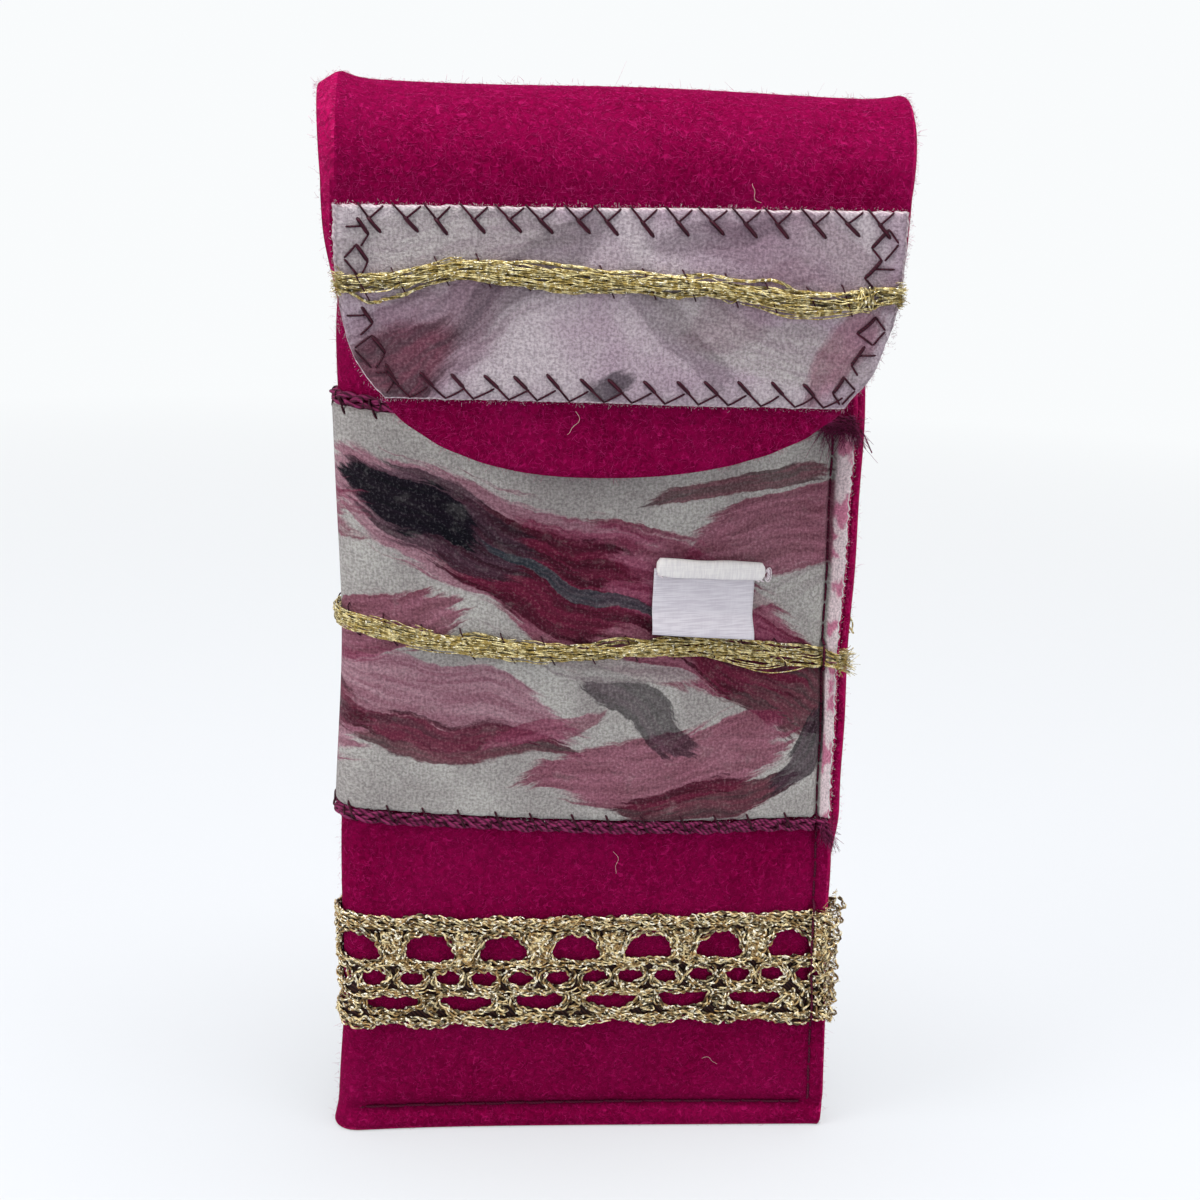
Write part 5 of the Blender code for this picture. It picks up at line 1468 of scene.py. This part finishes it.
def feather(top):
    """Feather stitching along the flap patch's upper or lower edge, with its side stitches."""
    thin, thick = [], []

    def line(a, b, c, d, heavy=False):
        (thick if heavy else thin).append(laid(flap_points, (a, b), (c, d), 2.72))

    if top:
        for x in np.arange(-PATCH_HALF + 3.2, PATCH_HALF - 3.5, 5.4):
            x = x + RANDOM.uniform(-0.5, 0.5)
            dx, dz = RANDOM.uniform(3.8, 4.5), RANDOM.uniform(3.8, 4.4)
            edge = float(flap_patch_top(x))
            line(x, edge + 0.3, x + 0.55 * dx, edge - 0.5 * dz)
            line(x + 0.45 * dx, edge - 0.42 * dz, x + dx, edge - dz, True)
            line(x + dx + 0.3, edge - 0.1, x + 0.55 * dx, edge - 0.5 * dz)
    else:
        half = 37.5
        for x in np.arange(-half, half - 3, 5.2):
            x = x + RANDOM.uniform(-0.5, 0.5)
            edge = float(flap_patch_bottom(x + 3))
            dx, dz = RANDOM.uniform(3.6, 4.3), RANDOM.uniform(3.9, 4.6)
            line(x, edge + dz, x + 0.55 * dx, edge + 0.5 * dz, True)
            line(x + 0.45 * dx, edge + 0.58 * dz, x + dx, edge + 0.25)
            line(x + dx, edge + 0.3, x + dx + 3.2, edge + 2.1)
    for side in (-1, 1):
        first = 167.0 if top else 153.0
        for k in range(2 if top else 3):
            z = first - 4.6 * k
            edge = side * (PATCH_HALF - 0.6)
            while tongue_bottom(np.array(edge)) + 0.9 > z - 2.5 and abs(edge) > 30:
                edge -= side * 0.5
            inn = edge - side * RANDOM.uniform(4.0, 5.6)
            mid = edge - side * RANDOM.uniform(1.8, 3.0)
            z = z + RANDOM.uniform(-0.5, 0.5)
            turn_z, foot_z = z - RANDOM.uniform(2.1, 3.0), z - RANDOM.uniform(4.2, 5.2)
            line(mid, z + 0.2, inn, turn_z, True)
            line(inn, turn_z, mid - side * RANDOM.uniform(-0.2, 0.8), foot_z)
            if (k + (side > 0)) % 2:
                line(edge - side * 0.2, z - 2.0, mid, z + 0.2)
                line(edge - side * 0.2, z - 2.0, mid - side * 0.3, foot_z)
            else:
                line(edge - side * 0.3, z - 1.2, ease(mid, inn, 0.45), ease(z, turn_z, 0.45))
    return thin, thick


for name, node, top in (("feather_stitch_above", "flap_upper_feather_stitch", True),
                        ("feather_stitch_below", "flap_lower_feather_stitch", False)):
    thin, thick = feather(top)
    radii = np.repeat([0.18, 0.32], [len(thin), len(thick)])
    stitched(name, "flap", [node], thin + thick, radii, THREAD)


# woven label, left bare

LABEL_LEAN = 0.1
LABEL_DROP = 1.1
LABEL_OUT = 2.8
# How far the cloth runs up behind the fold
LABEL_OVERLAP = 1.2


def on_front(x, z, out):
    """Points on the front at a distance x from the middle plane."""
    x, z, out = together(x, z, out)
    share = np.array([share_at(a, b) for a, b in zip(x.ravel(), z.ravel())]).reshape(x.shape)
    return body_points(share, z, out)


def loft(name, rings, material):
    """A closed tube through rings of points (n, k, 3), capped at both ends."""
    n, k, _ = rings.shape
    index = np.arange(n * k).reshape(n, k)
    faces = [skin(index), index[:1], index[-1:, ::-1]]
    return new_object(name, rings.reshape(-1, 3), faces, material)


def label():
    x = np.linspace(LABEL_LEFT, LABEL_RIGHT - 0.3, 37)
    z = np.linspace(LABEL_BOTTOM, LABEL_TOP + LABEL_OVERLAP, 27)
    gx, gz = np.meshgrid(x, z)
    across = (gx - LABEL_LEFT) / (LABEL_RIGHT - LABEL_LEFT)
    down = (LABEL_TOP - gz) / (LABEL_TOP - LABEL_BOTTOM)
    lift = 0.25 + 0.75 * across ** 3 * np.clip(down, 0, 1) ** 2 + 0.15 * np.sin(across * 5) * down
    gz = gz - LABEL_LEAN * (gx - LABEL_LEFT) - LABEL_DROP
    lift = lift + 1.15 * smooth((down - 0.55) / 0.4)
    tab = slab("woven_label_tab", on_front(gx, gz, LABEL_OUT + lift + 0.3),
               on_front(gx, gz, LABEL_OUT + lift), LABEL, flip=True)
    ring = np.linspace(0, 2 * np.pi, 28, endpoint=False)
    x = np.linspace(LABEL_LEFT + 0.2, LABEL_RIGHT + 1.0, 40)
    sag = 0.08 * np.sin(x * 0.35)
    half = 1.62 + 0.06 * np.sin(x * 0.7)
    ends = np.clip(np.minimum(x - x[0], x[-1] - x) / 0.5, 0.55, 1)
    middle = LABEL_TOP + 1.7 - LABEL_DROP - LABEL_LEAN * (x - LABEL_LEFT) + sag
    cz, cy = (np.sign(c) * np.abs(c) ** 0.75 for c in (np.cos(ring), np.sin(ring)))
    gz = middle[:, None] + half[:, None] * cz[None] * ends[:, None]
    out = 4.0 + 0.8 * cy[None] * ends[:, None]
    return tab, loft("woven_label_fold", on_front(x[:, None], gz, out), LABEL_ROLL)


tab, roll = label()
belongs(tab, "case", "label", "blank_label")
belongs(roll, "case", "label")


def label_threads(name, x, node, loops):
    z = LABEL_TOP + 0.1 - LABEL_DROP - LABEL_LEAN * (x - LABEL_LEFT)
    paths = [laid(on_front, (x + d, z + 0.25), (x + d + 0.9, z - 0.35), 3.95, sink=0.9)
             for d in (-0.7, 0.1)]
    extra = []
    for _ in range(loops):
        t = np.linspace(0, 2 * np.pi * RANDOM.uniform(0.6, 1.0), 22)
        r = RANDOM.uniform(0.4, 0.9)
        px = x + 1.0 + r * (1 - np.cos(t))
        pz = z + 0.9 + r * 1.6 * np.sin(t)
        extra.append((on_front(px, pz, 3.7 + 0.3 * np.sin(t * 1.5))[None], 0.11, 4, [0.2]))
    stitched(name, "case", [node], paths, 0.13, WHITE_THREAD, extra)


label_threads("label_thread_left", LABEL_LEFT + 1.2, "label_stitch_left", 1)
label_threads("label_thread_right", LABEL_RIGHT + 0.2, "label_stitch_right", 6)


# press stud


STUD_HOLES = 4
STUD_HOLE_RING = 4.1


def round_y(centre, radius, angle, y):
    """Points round a line along Y, at a radius, an angle and a height on the line."""
    x, z = centre[0] + radius * np.cos(angle), centre[1] + radius * np.sin(angle)
    return np.column_stack([x, np.broadcast_to(y, x.shape), z])


def turned(name, profile, centre, hollow):
    """A nickel solid turned about a line along Y from (radius, y) points."""
    angle = np.linspace(0, 2 * np.pi, 64, endpoint=False)
    rings = np.array([round_y(centre, r, angle, y) for r, y in profile])
    if not hollow:
        return loft(name, rings, NICKEL)
    index = np.arange(rings[..., 0].size).reshape(rings.shape[:2])
    faces = skin(np.concatenate([index, index[:1]]))
    return new_object(name, rings.reshape(-1, 3), [faces], NICKEL)


def stud_half(name, node, stitches, body, socket, felt_y):
    low, high = (np.array(c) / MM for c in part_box(node))
    centre = ((low[0] + high[0]) / 2, (low[2] + high[2]) / 2)
    radius = (high[0] - low[0]) / 2
    if socket:
        back, front, way = high[1], low[1], -1
        hole = 1.75
        profile = [(hole, back), (radius - 0.3, back), (radius, back - 0.25),
                   (radius, back - 0.45), (radius - 0.25, back - 0.62), (3.4, back - 0.66),
                   (3.05, back - 0.9), (2.9, front + 0.25), (2.6, front), (2.1, front),
                   (hole + 0.1, front + 0.15), (hole, front + 0.4)]
        plate = back - 0.66
    else:
        front, tip, way = low[1], high[1], 1
        profile = [(radius - 0.3, front), (radius, front + 0.2), (radius, front + 0.38),
                   (radius - 0.25, front + 0.55), (2.9, front + 0.6), (2.4, front + 0.95),
                   (1.15, front + 1.0), (1.1, front + 1.2), (1.4, front + 1.45),
                   (1.4, front + 1.65), (1.15, tip - 0.08), (0.6, tip)]
        plate = front + 0.6
    belongs(turned(name, profile, centre, socket), body, "nickel", node)
    angles = [2 * math.pi / STUD_HOLES * (k + (0.0 if socket else 0.5))
              for k in range(STUD_HOLES)]
    rims = []
    for a in angles:
        hole_at = (centre[0] + STUD_HOLE_RING * math.cos(a),
                   centre[1] + STUD_HOLE_RING * math.sin(a))
        rims.append(round_y(hole_at, 0.5, np.linspace(0, 2 * np.pi, 21), plate + way * 0.03))
    if socket:
        for side in (-1, 1):
            t = np.linspace(-1, 1, 21)
            rims.append(np.column_stack([centre[0] + side * (1.0 + 0.25 * np.cos(t * 2.4)),
                                         np.full(21, front + 0.35), centre[1] + 2.2 * t]))
    belongs(tubes(name + "_rims", [(np.array(rims), 0.11, 8, np.zeros(len(rims)))], NICKEL),
            body, "nickel")
    t = np.linspace(0, 1, 15)
    lift = np.interp(t, [0, 0.12, 0.5, 0.78, 1.0], [-0.25, 0.2, 0.28, 0.1, -1.0])
    y = np.where(t > 0.9, felt_y, plate + way * lift)
    out = STUD_HOLE_RING + (radius + 0.75 - STUD_HOLE_RING) * t
    paths = [round_y(centre, out, a + spread * (0.25 + t * 0.6), y)
             for a in angles for spread in (-0.14, 0.0, 0.13)]
    nodes = [f"{stitches}_stitch_{k + 1}" for k in range(STUD_HOLES)]
    stitched(name + "_stitches", body, nodes, paths, 0.15, THREAD)


stud_half("stud_socket", "press_stud_socket", "socket", "case", True, -7.4)
stud_half("stud_ball", "press_stud_ball", "ball", "flap", False, -11.0)


# loose fibres


FIBRE_POINTS = 6


def flat_felt(a, b):
    return HALF_FELT


def fuzz_paths(count, place, pick, out=flat_felt, per_mm=1.0):
    """Curved fibres lying on a surface: place(a, b, out), with a in units of per_mm."""
    a, b = pick(count)
    theta = RANDOM.uniform(0, 2 * np.pi, count)
    size = 1.7 * RANDOM.uniform(0.35, 1.25, count)
    bend = RANDOM.normal(0, 1.1, count)
    steps = FIBRE_POINTS + 1
    t = np.linspace(0, 1, steps)[None, :FIBRE_POINTS]
    heading = theta[:, None] + bend[:, None] * t
    a = a[:, None] + np.cumsum(np.cos(heading), axis=1) / steps * size[:, None] * per_mm
    b = b[:, None] + np.cumsum(np.sin(heading), axis=1) / steps * size[:, None]
    rise = 0.1 * RANDOM.exponential(1.0, count).clip(0, 3)[:, None] * np.sin(np.pi * t ** 0.8)
    return place(a, b, out(a, b) + rise - 0.02)


def add_fibres(name, paths, radius):
    paths[..., 2] = np.maximum(paths[..., 2], 0.05)
    n, k = paths.shape[:2]
    taper = np.interp(np.linspace(0, 1, k), [0, 0.3, 1], [0.8, 1, 0.4])[None]
    thin = radius * RANDOM.uniform(0.6, 1.3, (n, 1)) * taper
    return tubes(name, [(paths, thin, 3, RANDOM.uniform(0.1, 1.0, n))], FUZZ)


def whiskers(edges, count, length, spread=0.7):
    """Short fibres standing off cut edges or folds, given as (points, way outwards) pairs."""
    points = np.concatenate([p for p, _ in edges])
    outward = np.concatenate([np.broadcast_to(way, p.shape) for p, way in edges])
    at = RANDOM.integers(0, len(points), count)
    t = np.linspace(0, 1, FIBRE_POINTS)[None, :, None]
    heads = unit(outward[at] + RANDOM.normal(0, spread, (count, 3)))[:, None]
    curl = RANDOM.normal(0, 0.5, (count, 1, 3))
    size = length * RANDOM.exponential(0.6, (count, 1, 1)).clip(0.2, 2.2)
    feet = points[at][:, None] + RANDOM.normal(0, 0.25, (count, 1, 3))
    return feet + size * (heads * t + curl * t ** 2)


def felt_out(a, b):
    return HALF_FELT - seam_dip(a, b)


def pick_pouch(count):
    share = RANDOM.uniform(-0.99, 0.99, count)
    low = RANDOM.uniform(0, 1, count) < 0.52
    z = np.where(low, RANDOM.uniform(0.5, 62, count), RANDOM.uniform(134, 170, count))
    front = (z > MOUTH - 1) & (share > 0)
    return np.where(front, -share, share), z


def pick_bend(start, end):
    def pick(count):
        x = RANDOM.uniform(-FLAP_HALF, FLAP_HALF, count)
        return x, np.radians(RANDOM.uniform(start, end, count))
    return pick


def pick_flap(count):
    x = RANDOM.uniform(-FLAP_HALF + 0.5, FLAP_HALF - 0.5, count)
    top = RANDOM.uniform(0, 1, count) < 0.3
    low = tongue_bottom(x)
    return x, np.where(top, RANDOM.uniform(FLAP_PATCH_TOP + 0.5, BEND_Z, count),
                       ease(low + 0.3, np.maximum(low + 2, FLAP_PATCH_BOTTOM),
                            RANDOM.uniform(0, 1, count)))


def pouch_edges():
    z = np.linspace(0.3, MOUTH, 160)
    edges = []
    for share in (1.0, -1.0, 0.0):
        at = cut_share(share, z)
        out = body_points(at, z, 4.0) - body_points(at, z, 0.0)
        if share:
            out = out * 0.4 + np.array([3.0, 0, 0])
        edges += [(body_points(at, z, 0.6 if share else HALF_FELT), unit(out))] * 3
    return edges + [(body_points(np.linspace(-1, 1, 200), 0.3, 1.0), (0, -0.6, -0.3))] * 2


def bend_edges(start, end):
    """The cut ends of a strip of the bend, and lines across its face."""
    angle = np.radians(np.linspace(start, end, 40))
    across = np.linspace(-FLAP_HALF, FLAP_HALF, 160)
    ends = [(bend_points(side * FLAP_HALF, angle, depth), (side, 0, 0.2))
            for side in (-1, 1) for depth in (1.0, 0.2, -0.6, -1.2)]
    return ends + [(bend_points(across, a, HALF_FELT), (0, math.cos(a), math.sin(a)))
                   for a in np.radians(np.linspace(start + 5, end - 5, 5))]


def flap_edges():
    """The flap's cut edge, down both sides and round the tongue."""
    x = np.sin(0.5 * np.pi * np.linspace(-1, 1, 240)) * FLAP_HALF
    side = np.linspace(FLAP_SHOULDER, BEND_Z, 60)
    down = np.column_stack([0.8 * x / FLAP_HALF, 0 * x - 0.2, -1 + 0.4 * np.abs(x) / 45])
    edges = []
    for depth in (1.0, 0.0, -1.0):
        edges.append((flap_points(x, tongue_bottom(x), depth), down))
        edges += [(flap_points(way * FLAP_HALF, side, depth), (way, -0.2, 0.0))
                  for way in (-1, 1)]
    return edges


paths = fuzz_paths(6200, body_points, pick_pouch, felt_out, 1 / SHARE_LENGTH)
belongs(add_fibres("fibres_on_pouch", paths, 0.022), "case", "felt")
paths = whiskers(pouch_edges(), 3600, 0.45)
belongs(add_fibres("fibres_on_pouch_edges", paths, 0.02), "case", "felt")
paths = fuzz_paths(2200, flap_points, pick_flap)
paths = np.concatenate([paths, whiskers(flap_edges(), 1400, 0.38)])
belongs(add_fibres("fibres_on_flap", paths, 0.022), "flap", "felt")
for name, start, end, one, other in STRIPS:
    spin = 1 / (BEND_RADIUS + HALF_FELT)

    def spun(a, b, out, start=start, end=end):
        first = b[:, :1]
        return bend_points(a, np.clip(first + (b - first) * spin, math.radians(start),
                                      math.radians(end)), out)

    paths = fuzz_paths(1700, spun, pick_bend(start + 1, end - 1))
    edges = bend_edges(start, end)
    long_ones = whiskers(edges, 16, 1.1, 0.9)
    paths = np.concatenate([paths, whiskers(edges, 1100, 0.55), long_ones])
    fibres = add_fibres("fibres_on_" + name[5:], paths, 0.022)
    low, high = chord(start, end)
    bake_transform(fibres)
    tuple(low)
    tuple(high)


def lint(name, place, starts, body):
    """A few long pale fibres caught on the felt."""
    paths = []
    for a, b, heading, length, bend in starts:
        t = np.linspace(0, 1, 24)
        turn = heading + bend * t + 0.5 * np.sin(t * 9)
        da = np.cumsum(np.cos(turn)) / 24 * length
        db = np.cumsum(np.sin(turn)) / 24 * length
        paths.append(place(a + da, b + db, HALF_FELT + 0.1 + 0.35 * np.sin(np.pi * t)))
    made = tubes(name, [(np.array(paths), 0.028, 4, RANDOM.uniform(0, 1, len(paths)))], LINT)
    belongs(made, body, "felt")


lint("lint_on_pouch", lambda a, b, out: body_points(a / SHARE_LENGTH, b, out),
     [(52, 52, 1.2, 5, 0.8), (70, 14, 0.3, 4, -1.5), (-40, 30, 2.0, 6, 1.0),
      (-60, 150, 0.5, 6, 1.4)], "case")
lint("lint_on_flap", flap_points, [(-8, 133, 0.4, 5, 1.5), (22, 171, 2.6, 4, -1.2)], "flap")


def fringe(name, body, edges, count, length, material):
    made = tubes(name, [(whiskers(edges, count, length, 0.45),
                         0.032, 3, RANDOM.uniform(0, 1, count))], material)
    belongs(made, body, "velvet")


FRINGE_OUT = 2.0
share = np.linspace(-1, 1, 500)
up = np.linspace(PATCH_BOTTOM, PATCH_BOTTOM + PATCH_HEIGHT, 160)
edges = [(body_points(share, patch_bottom(share), FRINGE_OUT), (0, 0, -1)),
         (body_points(share, patch_bottom(share) + PATCH_HEIGHT, FRINGE_OUT), (0, 0, 1))]
edges += [(body_points(side, up, FRINGE_OUT), (1, 0, 0)) for side in (-1, 1)] * 5
fringe("velvet_fringe_on_body", "case", edges, 3000, 0.22, RAW_EDGE)
x = np.linspace(-PATCH_HALF, PATCH_HALF, 300)
side = np.linspace(FLAP_SHOULDER - 6, FLAP_PATCH_TOP, 100)
edges = [(flap_points(x, flap_patch_bottom(x), FRINGE_OUT),
          np.column_stack([0.5 * x / 45, 0 * x, -1 + 0 * x])),
         (flap_points(x, flap_patch_top(x), FRINGE_OUT), (0, 0, 1))]
edges += [(flap_points(way * (PATCH_HALF + PATCH_REACH), side, FRINGE_OUT), (way, 0, 0))
          for way in (-1, 1)]
fringe("velvet_fringe_on_flap", "flap", edges, 2600, 0.2, FLAP_EDGE)


# what each sheet was cut to, in metres

ROUND = round_length(80.0)[-1] * MM


def cut_area(bottom, top, half):
    """Area in square metres of a flap piece between two edges, each a height for every x."""
    x = np.linspace(-half, half, 201)
    return float(np.mean(top(x) - bottom(x))) * 2 * half * MM ** 2


def declare_sheets():
    area = cut_area(tongue_bottom, lambda x: np.full(x.shape, BEND_Z), FLAP_HALF)
    half = PATCH_HALF + PATCH_REACH
    area = cut_area(flap_patch_bottom, flap_patch_top, half)


declare_sheets()


# camera, lights and stage

CAMERA_AT = (-27.541 + SIDE_SHIFT, -321.240 + 1.9, 185.213)
YAW, PITCH, ROLL = 0.0853, 0.2548, -0.0382
FOCAL = 1900.0
PHOTO_WIDTH = 1200
SENSOR = 36.0


def stand(name, data, right, up, back, at):
    """A camera or light turned to three axes, at a place in metres."""
    made = bpy.data.objects.new(name, data)
    bpy.context.scene.collection.objects.link(made)
    place = Matrix.Identity(4)
    for k, column in enumerate((right, up, back, at)):
        for row in range(3):
            place[row][k] = column[row]
    made.matrix_world = place
    return made


def make_camera():
    ahead = np.array([math.sin(YAW) * math.cos(PITCH), math.cos(YAW) * math.cos(PITCH),
                      -math.sin(PITCH)])
    level = np.array([math.cos(YAW), -math.sin(YAW), 0.0])
    above = np.cross(level, ahead)
    right = math.cos(ROLL) * level - math.sin(ROLL) * above
    up = math.sin(ROLL) * level + math.cos(ROLL) * above
    data = bpy.data.cameras.new("photo_camera")
    data.sensor_width = SENSOR
    data.lens = FOCAL / PHOTO_WIDTH * SENSOR
    data.clip_start, data.clip_end = 0.01, 50.0
    at = [c * MM for c in CAMERA_AT]
    bpy.context.scene.camera = stand("photo_camera", data, right, up, -ahead, at)


def make_stage():
    """A floor that curves up into a backdrop far behind the object."""
    profile = [(-4.0, 0.0), (-2.0, 0.0), (0.0, 0.0), (1.0, 0.0)]
    profile += [(1.0 + 0.8 * math.sin(a), 0.8 - 0.8 * math.cos(a))
                for a in np.linspace(0.1, math.pi / 2, 14)]
    profile += [(1.8, 4.0)]
    across = np.linspace(-4, 4, 9)
    points = [(x, y, z) for y, z in profile for x in across]
    faces = cells(np.ones((len(profile), len(across)), bool))[1]
    made = new_object("pale_floor", np.array(points) / MM, [faces], stage_material())


def area_light(name, place, size, power):
    """A round soft light that points at the middle of the case."""
    data = bpy.data.lights.new(name, "AREA")
    data.shape, data.size, data.energy = "DISK", size, power
    forward = unit(np.array((0, 0, 0.1)) - np.array(place))
    side = unit(np.cross(forward, [0, 0, 1.0]))
    stand(name, data, side, np.cross(side, forward), -forward, place)


def make_world():
    world = bpy.data.worlds.new("soft_studio")
    bpy.context.scene.world = world
    world.use_nodes = True
    n = Nodes(world.node_tree)
    back, seen = n.tree.nodes["Background"], n.node("ShaderNodeBackground")
    n.fill(back, [(0.93, 0.96, 1.0, 1.0), 0.5])
    n.fill(seen, [srgb(250, 252, 254)])
    n.show(n.tree.nodes["World Output"], n.node("ShaderNodeLightPath").outputs["Is Camera Ray"],
           back.outputs[0], seen.outputs[0])


make_camera()
make_stage()
make_world()
area_light("left_softbox", (-0.95, -0.35, 0.55), 0.7, 6.5)
area_light("top_softbox", (0.05, -0.12, 1.2), 0.8, 17.0)
area_light("right_fill", (1.1, -0.6, 0.5), 0.9, 3.8)

bpy.context.scene.view_settings.view_transform = "Standard"
